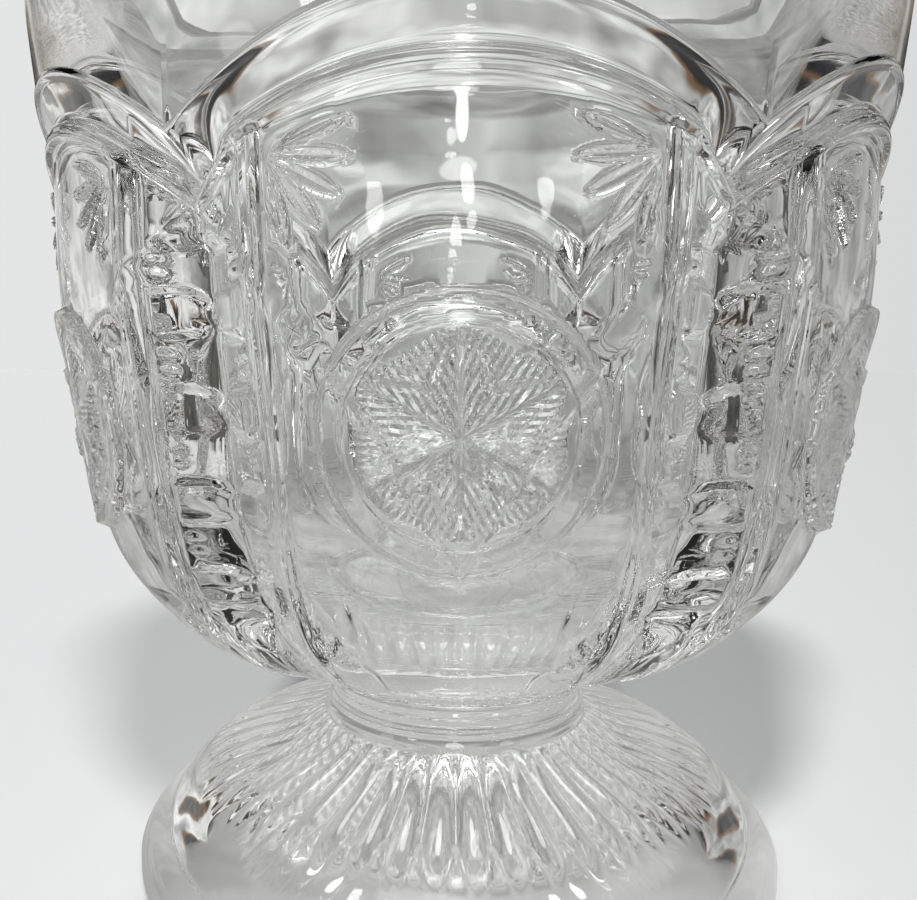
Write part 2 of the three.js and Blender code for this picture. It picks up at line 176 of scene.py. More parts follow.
def finish_object(
    bm: BMesh, name: str, material: Material, nodes: tuple[str, ...],
) -> bpy.types.Object:
    """Turns a mesh to metres and makes it a piece that stands for its CAD nodes.

    Args:
        bm: The finished mesh, in millimetres. It is freed.
        name: The piece's name.
        material: Its glass.
        nodes: The CAD nodes that it replaces.

    Returns:
        The new object.
    """
    bmesh.ops.recalc_face_normals(bm, faces=bm.faces)
    bmesh.ops.scale(bm, vec=(MM, MM, MM), verts=bm.verts)
    for face in bm.faces:
        face.smooth = True
    mesh = bpy.data.meshes.new(name)
    bm.to_mesh(mesh)
    bm.free()
    piece = add_object(name, mesh)
    mesh.materials.append(material)
    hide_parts(*nodes)
    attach(piece, "root")
    LOG.info("%s: %d faces", name, len(mesh.polygons))
    return piece


@dataclass
class Medallion:
    """Round medallion with a raised ring and a feathered star."""

    centre: float = 63.3
    radius: float = 12.9
    widening: float = 1.07
    proud: float = 1.1
    sunk: float = 0.5
    ring_inner: float = 10.3
    ring_fall: float = 0.35
    bevel: float = 0.6
    arms: int = 6
    arm_length: float = 9.6
    rib_height: float = 0.4
    vane_height: float = 0.35
    ring_soft: float = 0.3
    rib_half: float = 0.5
    vane_reach: float = 4.2
    vane_soft: float = 1.2
    vane_dip: tuple[float, float] = (0.4, 0.9)
    margin: float = 1.0
    settle_reach: float = 0.19

    def covers(self, x: Array, z: Array) -> Array:
        """Whether points lie in the medallion, with a margin."""
        return np.hypot(x / self.widening, z - self.centre) < self.radius + self.margin

    def settle(self, x: Array, z: Array) -> tuple[Array, Array]:
        """Moves points that are near the ring's edges on to them."""
        u = x / self.widening
        w = z - self.centre
        rho = np.hypot(u, w)
        moved = rho.copy()
        inner_edges = (self.ring_inner + self.ring_soft, self.ring_inner - self.ring_soft)
        for edge in (self.radius, self.radius - self.bevel, *inner_edges):
            moved = np.where(np.abs(rho - edge) < self.settle_reach, edge, moved)
        stretch = moved / np.maximum(rho, 1.0)
        stretch = np.where(moved == rho, 1.0, stretch)
        return x * stretch, self.centre + w * stretch

    def height(self, x: Array, z: Array) -> Array:
        """Height of the relief over the panel's floor."""
        u = x / self.widening
        w = z - self.centre
        rho = np.hypot(u, w)
        flat_edge = self.radius - self.bevel
        slant = np.clip((flat_edge - rho) / (flat_edge - self.ring_inner), 0, 1)
        ring = self.proud * smooth((self.radius - rho) / self.bevel) - self.ring_fall * slant
        within = smooth((self.ring_inner + self.ring_soft - rho) / (2 * self.ring_soft))
        disc = (self.proud - self.ring_fall - self.sunk) * within
        turn = np.arctan2(u, w)
        fold = np.mod(turn + math.pi / self.arms, FULL_TURN / self.arms) - math.pi / self.arms
        along = rho * np.cos(fold)
        across = np.abs(rho * np.sin(fold))
        reach = np.clip(1 - along / self.arm_length, 0, 1)
        rib = self.rib_height * ridge(across, self.rib_half) * np.sqrt(reach)
        spread = smooth((np.sqrt(reach) * self.vane_reach - across) / self.vane_soft)
        vane = self.vane_height * spread * smooth(reach * 6)
        return ring - disc + rib + vane * (1 - self.vane_dip[0] * ridge(across, self.vane_dip[1]))


@dataclass
class Fan:
    """Leaves that spread from a corner of the panel, each a boat with a raised rim and a sunk middle."""

    root_height: float
    root_inset: float
    directions: tuple[float, ...]
    length: float
    half_width: float
    gap: float
    proud: float
    rim_width: float = 0.42
    rim_edge: float = 0.58
    core_depth: float = 0.8
    end_steepness: float = 2.5
    spread_margin: float = 9
    reach_margin: float = 0.5
    bare_root: float = 1.2
    settle_reach: float = 0.11
    settle_span: tuple[float, float] = (0.2, 0.98)

    def rim_inputs(self, edge: float) -> dict[str, float]:
        """Inputs of the LeafRims group for this fan, whose root is at an edge of the frame."""
        lowest = math.radians(min(self.directions))
        highest = math.radians(max(self.directions))
        last = len(self.directions) - 1
        return {
            "Root X": edge + self.root_inset, "Root Z": self.root_height, "Lowest": lowest,
            "Step": (highest - lowest) / last, "Last": last, "Length": self.length,
            "Half Width": self.half_width, "Gap": self.gap,
        }

    def covers(self, x: Array, z: Array, edge: float) -> Array:
        """Whether points lie in the fan, with a margin, for distances x from the panel's middle line."""
        dx = edge + self.root_inset - x
        dz = z - self.root_height
        turn = np.degrees(np.arctan2(dz, dx))
        lowest = min(self.directions) - self.spread_margin
        highest = max(self.directions) + self.spread_margin
        away = np.hypot(dx, dz)
        within = (away < self.length + self.gap + self.reach_margin) & (away > self.bare_root)
        return within & (turn > lowest) & (turn < highest)

    def leaf_half(self, along: Array) -> Array:
        """Half width of a leaf at a share of its length."""
        bow = np.sin(math.pi * np.clip(along, 0, 1) ** LEAF_SWELL)
        return self.half_width * bow ** LEAF_FULLNESS + 1e-6

    def settle(self, x: Array, z: Array, edge: float) -> tuple[Array, Array]:
        """Moves points that are near a leaf's outline, rim or middle line on to it."""
        for direction in self.directions:
            turn = math.radians(direction)
            side = np.where(x < 0, -1.0, 1.0)
            dx = edge + self.root_inset - np.abs(x)
            dz = z - self.root_height
            run = dx * math.cos(turn) + dz * math.sin(turn)
            across = -dx * math.sin(turn) + dz * math.cos(turn)
            along = (run - self.gap) / self.length
            half = self.leaf_half(along)
            moved = across.copy()
            for share in (-1.0, -self.rim_edge, 0.0, self.rim_edge, 1.0):
                moved = np.where(np.abs(across - share * half) < self.settle_reach, share * half, moved)
            moved = np.where((along > self.settle_span[0]) & (along < self.settle_span[1]), moved, across)
            new_x = edge + self.root_inset - (run * math.cos(turn) - moved * math.sin(turn))
            x = side * new_x
            z = self.root_height + run * math.sin(turn) + moved * math.cos(turn)
        return x, z

    def height(self, x: Array, z: Array, edge: float) -> Array:
        """Height of the leaves over the floor, for distances x from the panel's middle line."""
        out = np.zeros_like(x)
        for direction in self.directions:
            turn = math.radians(direction)
            dx = edge + self.root_inset - x
            dz = z - self.root_height
            along = (dx * math.cos(turn) + dz * math.sin(turn) - self.gap) / self.length
            part = np.abs(-dx * math.sin(turn) + dz * math.cos(turn)) / self.leaf_half(along)
            core = np.clip((self.rim_edge - part) / self.rim_edge, 0, 1)
            rim = smooth((1.0 - part) / self.rim_width) - self.core_depth * core
            ends = smooth(self.leaf_half(along) / self.half_width * self.end_steepness)
            out = np.maximum(out, self.proud * rim * ends * ((along > 0) & (along < 1)))
        return out


@dataclass
class Scallops:
    """Half-round pads on both slopes of a groove, with small teeth between them."""

    lobes: int = 4
    radius: float = 2.5
    pitch: float = 9.6
    top: float = 74.6
    tip_gap: float = 0.35
    proud: float = 1.0
    tooth_length: float = 1.5
    tooth_half: float = 0.62
    tooth_pitch: float = 2.2
    tooth_apart: float = 1.15
    tooth_share: float = 0.8
    tooth_edge: float = 0.35
    top_teeth: int = 3
    edge: float = 0.45
    side_fade: tuple[float, float] = (0.5, 0.4)

    def height(self, x: Array, fall: Array, start: Array, middle: float) -> Array:
        """Height of the pads and teeth over the groove's slopes.

        Args:
            x: Distance from the panel's middle line.
            fall: Distance down the side from the top of the first lobe.
            start: Where the frame's steep wall ends.
            middle: The groove's middle line.

        Returns:
            The relief's height.
        """
        out = np.zeros_like(x)
        centre = middle - self.tip_gap - self.radius
        for k in range(self.lobes):
            dy = fall - (k * self.pitch + self.radius)
            dx = np.maximum(x - centre, 0)
            inside = self.radius - np.hypot(dx, dy)
            out = np.maximum(out, self.proud * smooth(inside / self.edge))
        first = -self.top_teeth * self.tooth_half * self.tooth_pitch
        teeth = [first + n * self.tooth_half * self.tooth_pitch for n in range(self.top_teeth)]
        for k in range(self.lobes - 1):
            gap = (k + 0.5) * self.pitch + self.radius
            teeth += [gap - self.tooth_half * self.tooth_apart, gap + self.tooth_half * self.tooth_apart]
        for centre_fall in teeth:
            dx = np.maximum(x - start - self.tooth_length + self.tooth_half, 0)
            inside = self.tooth_half - np.hypot(dx, fall - centre_fall)
            out = np.maximum(out, self.proud * self.tooth_share * smooth(inside / self.tooth_edge))
        return out * smooth((x - start + self.side_fade[0]) / self.side_fade[1])


class Cut(Enum):
    """Which edges of the net a finer zone cuts."""

    ALL = "all"
    UPRIGHT = "upright"


@dataclass(frozen=True)
class Zone:
    """A finer part of the net: a test on millimetres, the cuts of an edge, and which edges are cut."""

    test: Callable[[Array, Array], Array]
    cuts: int
    edges: Cut = Cut.ALL


@dataclass
class Bowl:
    """The pressed bowl: six arched panels, grooves, medallions and fans outside, and the hollow inside."""

    rim_height: float = 120
    crossing: float = 85
    panel_foot: float = 38.2
    base: float = 29.8
    base_radius: float = 20
    rim_radius: float = 55
    shoulder_radius: float = 52.6
    rim_rounding: float = 1.1
    panels: int = 6
    panel_radius: float = 52.7
    recess: float = 0.6
    recess_fade: Span = (0.4, 0.9)
    foot_fade: Span = (2, 8)
    frame_rise: float = 1.2
    frame_start: float = 0.2
    frame_width: Span = (1.7, 2.3)
    frame_widens: Span = (45, 25)
    frame_step: float = 0.7
    frame_step_run: float = 0.4
    facet_fall: float = 1.0
    frame_inner: Span = (18.6, 19.4)
    frame_outer: Span = (21.2, 22.8)
    groove: float = 5.4
    groove_side: float = 2.4
    groove_wall: float = 1.5
    groove_top: float = 80.5
    groove_fade: float = 0.9
    groove_top_share: float = 0.75
    valley_depth: float = 3.8
    valley_steepness: float = 1.15
    valley_on_band: float = 0.85
    arch_rise: float = 15.2
    arch_spring: float = 5.4
    arch_bead: float = 0.35
    arch_bead_half: float = 0.65
    arch_blend: float = 0.8
    ridge_rise: float = 9.6
    ridge_power: float = 2.2
    ridge_proud: float = 0.85
    ridge_half: float = 1.1
    ridge_soft: float = 0.5
    rib_proud: float = 0.75
    rib_half: float = 0.75
    rib_dip: Span = (0.3, 0.35)
    rib_fall: float = 0.2
    rib_stop: float = 0.4
    splay: float = 1.6
    splay_start: float = 0.2
    splay_power: float = 1.15
    leaf_overlap: float = 0.3
    pad_start: float = 0.6
    ledge_depth: float = 5
    ledge_width: float = 2.6
    ledge_soft: float = 0.35
    rim_wall: float = 3.4
    wall: float = 2.9
    cavity_floor: float = 37
    cavity_corner: float = 24
    cavity_taper: float = 0.8
    mouth_foot: float = 100
    net_knots: Span = (0.47, 0.65)
    ridge_band: float = 1.2
    edge_band: float = 0.8
    groove_zone: tuple[float, float, float] = (21.2, 42.5, 81.5)
    weld: float = 0.03

    def __post_init__(self) -> None:
        """Works out the side outline and the angle of half a panel."""
        self.half = math.pi / self.panels
        self.outline = spline([
            (self.base_radius, self.base), (25, 30.6), (30, 32), (35, 34.2), (39.6, 37.6), (43.8, 41.8),
            (47, 47.2), (48.8, 53.6), (50.1, 61), (51.3, 69), (self.panel_radius - 0.3, 77),
            (self.panel_radius, self.crossing), (self.panel_radius, self.crossing + self.arch_rise),
        ], 24)
        self.run = lengths_along(self.outline)
        self.medallion = Medallion()
        self.fans = [
            Fan(
                root_height=self.crossing + 2.6, root_inset=-0.4, directions=(19, -4.5, -28, -51.5, -75),
                length=8.0, half_width=0.9, gap=0.3, proud=0.6,
            ),
            Fan(
                root_height=self.panel_foot + 0.9, root_inset=-0.3, directions=(98, 64.5, 31, -2.5),
                length=3.6, half_width=0.6, gap=0.3, proud=0.5,
            ),
        ]
        self.scallops = Scallops()

    def crest(self, z: Array) -> Array:
        """Radius of the panels' frames at a height."""
        return np.interp(z, self.outline[:, 1], self.outline[:, 0])

    def run_at(self, z: Array) -> Array:
        """Distance up the side outline at a height."""
        return np.interp(z, self.outline[:, 1], self.run)

    def edge_angle(self, edge: Span, z: Array, power: float) -> Array:
        """Angle of a frame's edge at a height, from its foot and top angles in degrees."""
        t = np.clip((z - self.panel_foot) / (self.crossing - self.panel_foot), 0, 1) ** power
        return np.radians(mix(edge[0], edge[1], t))

    def lines(self, z: Array) -> tuple[Array, Array, float]:
        """Distances of the frame's two edges and the groove's middle from the panel's middle line."""
        inner = self.edge_angle(self.frame_inner, z, 1.0) * self.panel_radius
        outer = self.edge_angle(self.frame_outer, z, 0.5) * self.panel_radius
        return inner, outer, self.half * self.panel_radius

    def root_x(self, fan: Fan) -> float:
        """Distance of the frame's inner edge from the panel's middle line at a fan's root."""
        return float(self.lines(np.array(fan.root_height))[0])

    def inner_arch(self, angle: Array) -> Array:
        """Height of the inner ridge, which runs on past the crossing over the groove."""
        return self.crossing + self.ridge_rise * (1 - np.abs(angle / self.half) ** self.ridge_power)

    def outer_arch(self, angle: Array) -> Array:
        """Height of the arch's edge on the wall."""
        t = angle / self.half
        return self.crossing + mix(self.arch_rise, self.arch_spring, t * t)

    def arch_slant(self, angle: Array, nudge: float = 0.01) -> Array:
        """How much longer a vertical step is than a step square to the arches."""
        rise = self.outer_arch(angle + nudge) - self.outer_arch(angle - nudge)
        rise = rise / (2 * nudge * self.panel_radius)
        return np.sqrt(1 + rise * rise)

    def valley(self, angle: Array) -> Array:
        """Fall of the surface towards the line between two panels."""
        start = math.radians(self.frame_outer[1])
        share = (np.abs(angle) - start) / (self.half - start)
        return self.valley_depth * smooth(share * self.valley_steepness)

    def wall_radius(self, z: Array) -> Array:
        """Radius of the plain wall above the arches."""
        t = smooth((z - self.crossing) / (self.rim_height - self.crossing))
        return mix(self.shoulder_radius, self.rim_radius, t)

    def rib(self, angle: Array, z: Array) -> Array:
        """Relief of the inner ridges, with the neighbours' ridges that run on across the groove."""
        slant = self.arch_slant(angle)
        own = (z - self.inner_arch(angle)) / slant
        relief = self.ridge_proud * smooth((self.ridge_half - np.abs(own)) / self.ridge_soft)
        beyond = 2 * self.half - np.abs(angle)
        other = (z - self.inner_arch(beyond)) / slant
        reach = smooth((self.half - np.abs(angle)) / (self.half - math.radians(self.frame_outer[1])))
        dip, dip_share = self.rib_dip
        over = ridge(other, self.rib_half) - dip * ridge(other, self.rib_half * dip_share)
        return np.maximum(relief, self.rib_proud * over * (1 - self.rib_fall * reach))

    def panel_surface(self, angle: Array, z: Array) -> Array:
        """Radius of the outside below the inner ridges."""
        x = np.abs(angle) * self.panel_radius
        inner, outer, middle = self.lines(z)
        above = z - self.panel_foot
        foot = smooth((above + self.foot_fade[0]) / self.foot_fade[1])
        sunk = self.recess * smooth((above + self.recess_fade[0]) / self.recess_fade[1])
        level = -sunk * (1 - smooth((x - inner + self.frame_start) / self.frame_rise))
        widened = np.clip((z - self.frame_widens[0]) / self.frame_widens[1], 0, 1)
        width = mix(self.frame_width[0], self.frame_width[1], widened)
        beyond = x - inner - width
        facet = np.clip(beyond / (outer - inner - width), 0, 1)
        fall = self.frame_step * smooth(beyond / self.frame_step_run) + self.facet_fall * facet
        side = smooth((x - outer) / self.groove_wall)
        slope = np.clip((x - outer - self.groove_wall) / (middle - outer - self.groove_wall), 0, 1)
        low = smooth((z - self.groove_top) / self.groove_fade)
        bottom = mix(self.groove, self.valley_depth, low)
        beginning = mix(self.groove_side, self.groove_side * self.groove_top_share, low)
        fall += (mix(beginning, bottom, slope) - self.frame_step - self.facet_fall) * side
        return self.crest(z) + level - fall * foot - side * (1 - foot)

    def relief(self, angle: Array, z: Array) -> Array:
        """Ornament that stands on the panels and in the grooves."""
        x = angle * self.panel_radius
        inner, outer, middle = self.lines(z)
        out = self.medallion.height(x, z)
        for fan in self.fans:
            leaves = fan.height(np.abs(x), z, self.root_x(fan))
            out = np.maximum(out, leaves * (np.abs(x) < inner + self.leaf_overlap))
        start = outer + self.groove_wall * self.pad_start
        fall = self.run_at(np.array(self.scallops.top + self.scallops.radius)) - self.run_at(z)
        return out + self.scallops.height(np.abs(x), fall, start, middle)

    def outside(self, angle: Array, z: Array) -> Array:
        """Radius of the whole outside skin."""
        inner = self.inner_arch(angle)
        outer = self.outer_arch(angle)
        slant = self.arch_slant(angle)
        below = self.panel_surface(angle, np.minimum(z, inner)) + self.relief(angle, z) * (z < inner)
        deep = self.wall_radius(outer) - self.splay - self.valley(angle) * self.valley_on_band
        s = (z - inner) / (outer - inner)
        ramp = np.clip((s - self.splay_start) / (1 - self.splay_start), 0, 1) ** self.splay_power
        band = mix(deep, self.wall_radius(outer), ramp)
        lower = mix(below, band, smooth((z - inner) / slant / self.arch_blend + 0.5))
        radius = np.where(z < outer, lower, self.wall_radius(z))
        radius = radius + self.rib(angle, z) * (z < outer - self.rib_stop)
        return radius + self.arch_bead * ridge((z - outer) / slant, self.arch_bead_half)

    def column_angle(self, u: Array, z: Array) -> Array:
        """Angle of a column, drawn along the frames.

        Args:
            u: Column from -1 to 1 over the panel.
            z: Heights.

        Returns:
            Signed local angles.
        """
        near, far = self.net_knots
        inner = self.edge_angle(self.frame_inner, z, 1.0)
        outer = self.edge_angle(self.frame_outer, z, 0.5) + self.groove_wall / self.panel_radius
        a = np.abs(u)
        first = a / near * inner
        second = mix(inner, outer, (a - near) / (far - near))
        third = mix(outer, self.half, (a - far) / (1.0 - far))
        return np.sign(u) * np.where(a < near, first, np.where(a < far, second, third))

    def row_place(self, u: Array, v: Array) -> tuple[Array, Array]:
        """Angle and height of a point of the flat net.

        Args:
            u: Column from -1 to 1.
            v: Row from 0, at the collar, to 4, at the rim's rounding.

        Returns:
            The local angles and the heights.
        """
        foot_run = float(self.run_at(np.array(self.panel_foot)))
        top = self.rim_height - self.rim_rounding
        guess = np.full_like(u, self.crossing)
        for _ in range(4):
            angle = self.column_angle(u, guess)
            slant = self.arch_slant(angle)
            inner = self.inner_arch(angle) - self.ridge_band * slant
            outer = self.outer_arch(angle)
            run = np.where(v < 1, v * foot_run, mix(foot_run, self.run_at(inner), v - 1))
            guess = np.interp(run, self.run, self.outline[:, 1])
            over_ridge = inner + 2 * self.ridge_band * slant
            marks = (inner, over_ridge, outer - self.edge_band, outer + self.edge_band, top)
            for k in range(4):
                start = 2 + k / 2
                guess = np.where(v < start, guess, mix(marks[k], marks[k + 1], (v - start) / 0.5))
        return self.column_angle(u, guess), guess

    def panel_net(self) -> BMesh:
        """Makes one panel as a flat net, refines it under the ornament and wraps it on the bowl."""
        rows = stations((0, 1, 6), (1, 2, 46), (2, 2.5, 10), (2.5, 3, 5), (3, 3.5, 5), (3.5, 4, 4))
        half = stations((0, 0.46, 16), (0.46, 0.585, 11), (0.585, 0.65, 3), (0.65, 1, 7))
        columns = np.concatenate([-half[:0:-1], half])
        bm = bmesh.new()
        bmesh.ops.create_grid(bm, x_segments=len(columns) - 1, y_segments=len(rows) - 1, size=0.5)
        flat = coordinates(bm)
        i = np.rint((flat[:, 0] + 0.5) * (len(columns) - 1)).astype(int)
        j = np.rint((flat[:, 1] + 0.5) * (len(rows) - 1)).astype(int)
        place(bm, np.stack([columns[i], rows[j], np.zeros(len(flat))], axis=1))
        for zone in self.zones():
            self.refine(bm, zone)
        net = coordinates(bm)
        angle, z = self.settle(*self.row_place(net[:, 0], net[:, 1]))
        place(bm, np.stack([angle * self.panel_radius, z, np.zeros_like(z)], axis=1))
        bmesh.ops.dissolve_degenerate(bm, dist=self.weld, edges=bm.edges[:])
        net = coordinates(bm)
        angle, z = net[:, 0] / self.panel_radius, net[:, 1]
        layer = bm.loops.layers.uv.new(MAP_NAME)
        bm.verts.index_update()
        u = angle * self.panel_radius / MAP_UNIT
        w = (z - self.medallion.centre) / MAP_UNIT
        for face in bm.faces:
            for loop in face.loops:
                loop[layer].uv = (u[loop.vert.index], w[loop.vert.index])
        place(bm, polar(self.outside(angle, z), angle, z))
        return bm

    def settle(self, angle: Array, z: Array) -> tuple[Array, Array]:
        """Moves points that are near an edge of the ornament on to it, so that the edge is clean."""
        x, z = self.medallion.settle(angle * self.panel_radius, z)
        for fan in self.fans:
            x, z = fan.settle(x, z, self.root_x(fan))
        return x / self.panel_radius, z

    def zones(self) -> list[Zone]:
        """Where the net is refined."""
        upper, lower = self.fans
        side, foot, top = self.groove_zone
        return [
            Zone(self.medallion.covers, 2),
            Zone(lambda x, z: upper.covers(np.abs(x), z, self.root_x(upper)), 4),
            Zone(lambda x, z: lower.covers(np.abs(x), z, self.root_x(lower)), 2),
            Zone(lambda x, z: (np.abs(x) > side) & (z > foot) & (z < top), 2, Cut.UPRIGHT),
        ]

    def refine(self, bm: BMesh, zone: Zone) -> None:
        """Cuts the net's edges inside a zone."""
        net = coordinates(bm)
        angle, z = self.row_place(net[:, 0], net[:, 1])
        inside = zone.test(angle * self.panel_radius, z)
        bm.verts.index_update()
        chosen = []
        for edge in bm.edges:
            a, b = edge.verts
            level = abs(a.co.y - b.co.y) < 1e-6
            if inside[a.index] and inside[b.index] and not (zone.edges is Cut.UPRIGHT and level):
                chosen.append(edge)
        bmesh.ops.subdivide_edges(bm, edges=chosen, cuts=zone.cuts, use_grid_fill=True)

    def hollow(self) -> list[tuple[float, float]]:
        """Profile of the rim, the lid's ledge and the hollow, from the rim's outer rounding inward."""
        rounding = self.rim_rounding
        soft = self.ledge_soft
        lip = self.rim_radius - self.rim_wall
        ledge = self.rim_height - self.ledge_depth
        inside = self.panel_radius - self.groove - self.wall
        quarters = [(self.rim_radius, -rounding, k / 4) for k in range(1, 5)]
        quarters += [(lip, rounding, 1 - k / 4) for k in range(5)]
        out = []
        for start, bend, share in quarters:
            turn = share * math.pi / 2
            height = self.rim_height - rounding * (1 - math.sin(turn))
            out.append((start + bend * (1 - math.cos(turn)), height))
        out += [(lip, ledge + soft), (lip - soft * 0.3, ledge + soft * 0.3), (lip - soft, ledge)]
        neck = (lip - self.ledge_width, ledge - soft)
        out += [(lip - self.ledge_width + soft, ledge), neck]
        for k in range(1, 4):
            t = k / 3
            r = neck[0] + (inside + self.cavity_taper - neck[0]) * (3 * t * t - 2 * t ** 3)
            out.append((r, neck[1] + (self.mouth_foot - neck[1]) * t))
        top = self.cavity_floor + self.cavity_corner
        out.append((inside, (self.mouth_foot + top) / 2 + 2))
        steps = 9
        for k in range(steps):
            turn = k / steps * math.pi / 2
            r = inside - self.cavity_taper - (self.cavity_corner + self.cavity_taper) * (1 - math.cos(turn))
            out.append((r, self.cavity_floor + self.cavity_corner * (1 - math.sin(turn))))
        flat_radius = inside - 2 * self.cavity_taper - self.cavity_corner
        return out + [(flat_radius * 0.8, self.cavity_floor - 0.05), (flat_radius * 0.35, self.cavity_floor)]

    def build(self, glass: Material) -> bpy.types.Object:
        """Makes the bowl.

        Args:
            glass: The glass with the ornament's fine relief.

        Returns:
            The piece that stands for the CAD bowl.
        """
        bm = self.panel_net()
        bmesh.ops.spin(
            bm, geom=bm.verts[:] + bm.edges[:] + bm.faces[:], cent=(0, 0, 0), axis=(0, 0, 1), dvec=(0, 0, 0),
            angle=FULL_TURN * (self.panels - 1) / self.panels, steps=self.panels - 1, use_duplicate=True,
        )
        bmesh.ops.remove_doubles(bm, verts=bm.verts, dist=0.002)
        loop = top_loop(bm)
        for radius, height in self.hollow():
            loop = extrude_ring(bm, loop, radius, height)
        bmesh.ops.pointmerge(bm, verts=ring_of(loop), merge_co=(0, 0, self.cavity_floor))
        return finish_object(bm, "bowl_glass", glass, ("bowl",))


@dataclass
class Collar:
    """The short neck under the bowl, with its milled disc and three faint rings."""

    top: float = 29.8
    foot: float = 20.5
    disc_radius: float = 20
    disc_thickness: float = 2.4
    foot_radius: float = 18.9
    neck_radius: float = 17.6
    ring_proud: float = 0.5
    rings: int = 3
    panels: int = 6
    teeth: int = 14
    tooth_depth: float = 0.75
    columns: int = 1080

    def profile(self) -> list[tuple[float, float, float]]:
        """Radius, height and share of the teeth at each row, from the bowl down."""
        out = [(self.disc_radius, self.top, 0.0)]
        for k in range(1, 8):
            t = k / 8
            out.append((self.disc_radius, self.top - t * self.disc_thickness, math.sin(math.pi * t) ** 0.35))
        disc_foot = self.top - self.disc_thickness
        out.append((self.disc_radius - 0.1, disc_foot, 0.0))
        out.append((self.foot_radius + 0.35, disc_foot - 0.1, 0.0))
        steps = self.rings * 10
        for k in range(1, steps):
            t = k / steps
            bend = (2 * t - 1) ** 2
            cove = self.neck_radius + (self.foot_radius - self.neck_radius) * bend
            ring = self.ring_proud * max(0.0, math.cos(t * self.rings * FULL_TURN)) * (1 - bend)
            out.append((cove + ring, disc_foot - 0.1 - t * (disc_foot - 0.1 - self.foot), 0.0))
        out.append((self.foot_radius, self.foot, 0.0))
        return out

    def tooth(self, angle: float) -> float:
        """Depth of the milled edge at an angle: teeth over each panel, and a plain land between panels."""
        pitch = FULL_TURN / (self.panels * (self.teeth + 1))
        place_in = (angle / pitch + 0.5) % (self.teeth + 1)
        if abs(place_in - (self.teeth + 1) / 2) > (self.teeth + 1) / 2 - 0.5:
            return 0.0
        return self.tooth_depth * (0.5 + 0.5 * math.cos((angle / pitch + 0.5) * FULL_TURN)) ** 0.7

    def build(self, glass: Material) -> bpy.types.Object:
        """Makes the collar, open where it is fused to the bowl and the foot."""
        bm = bmesh.new()
        bmesh.ops.create_circle(bm, segments=self.columns, radius=self.disc_radius, cap_ends=False)
        bmesh.ops.translate(bm, verts=bm.verts, vec=(0, 0, self.top))
        loop = bm.edges[:]
        shift = math.pi / self.panels
        for radius, height, share in self.profile()[1:]:
            loop = extrude_ring(bm, loop, radius, height)
            if share > 0:
                for vertex in ring_of(loop):
                    turn = math.atan2(vertex.co.x, -vertex.co.y) % FULL_TURN
                    cut = (radius - share * self.tooth(turn + shift)) / radius
                    vertex.co.x *= cut
                    vertex.co.y *= cut
        return finish_object(bm, "collar_glass", glass, ("collar",))


@dataclass
class Foot:
    """The round foot: rays that end in round lobes, a smooth shoulder, a plain rim and a hollow underside."""

    radius: float = 44.5
    edge: float = 4
    top: float = 20.5
    top_radius: float = 18.9
    rays: int = 48
    ray_radius: float = 37
    ray_depth: float = 1.0
    hollow: float = 6
    ring_inner: float = 35
    ring_outer: float = 43.2
    columns_per_ray: int = 14

    def __post_init__(self) -> None:
        """Works out the dome's outline from the collar to the rim."""
        self.dome = spline([
            (self.top_radius, self.top), (24, 18.4), (29, 16.8), (33.5, 15), (self.ray_radius, 12.6),
            (39.5, 9.8), (41.6, 7.2), (self.radius - 1, self.edge + 1.5),
        ], 20)

    def rows(self) -> list[tuple[float, float]]:
        """Profile of the foot, from the collar over the rim to the underside's hollow."""
        run = lengths_along(self.dome)
        even = np.linspace(0, run[-1], 62)
        out = list(zip(np.interp(even, run, self.dome[:, 0]), np.interp(even, run, self.dome[:, 1])))
        inner = self.ring_inner - self.hollow
        out += [
            (self.radius - 0.35, self.edge + 0.7), (self.radius, self.edge), (self.radius, 2.2),
            (self.radius - 0.4, 0.9), (self.ring_outer, 0.12), (self.ring_outer - 0.6, 0),
            (self.ring_inner + 0.6, 0), (self.ring_inner - 0.2, 0.35), (self.ring_inner - 3, 3.2),
            (inner, self.hollow - 0.6), (inner - 4, self.hollow), (inner * 0.45, self.hollow),
        ]
        return [(float(r), float(z)) for r, z in out]

    def drop(self, radius: float, phase: float) -> float:
        """How far a point of the dome lies under its outline.

        Args:
            radius: Distance from the axis.
            phase: Place within its ray, 0 in the groove and 0.5 on the crest.

        Returns:
            The drop in millimetres.
        """
        along = (radius - self.top_radius) / (self.ray_radius - self.top_radius)
        if along <= 0 or along >= 1.06:
            return 0.0
        crest = abs(2 * phase - 1)
        rise = min(1.0, along / 0.12)
        groove = self.ray_depth * crest ** 2.2
        tip = 1.0 - 0.3 * crest ** 2
        end = min(1.0, max(0.0, (tip + 0.04 - along) / 0.09))
        return groove * rise * end * end * (3 - 2 * end) * (0.35 + 0.65 * min(1.0, along * 1.8))

    def build(self, glass: Material) -> bpy.types.Object:
        """Makes the foot, open where it is fused to the collar."""
        bm = bmesh.new()
        columns = self.rays * self.columns_per_ray
        bmesh.ops.create_circle(bm, segments=columns, radius=self.top_radius, cap_ends=False)
        bmesh.ops.translate(bm, verts=bm.verts, vec=(0, 0, self.top))
        loop = bm.edges[:]
        rows = self.rows()
        for radius, height in rows[1:]:
            loop = extrude_ring(bm, loop, radius, height)
            if height <= self.edge + 2:
                continue
            for vertex in ring_of(loop):
                turn = math.atan2(vertex.co.x, -vertex.co.y) / FULL_TURN * self.rays
                vertex.co.z -= self.drop(radius, turn % 1.0)
        bmesh.ops.pointmerge(bm, verts=ring_of(loop), merge_co=(0, 0, self.hollow))
        return finish_object(bm, "foot_glass", glass, ("foot",))


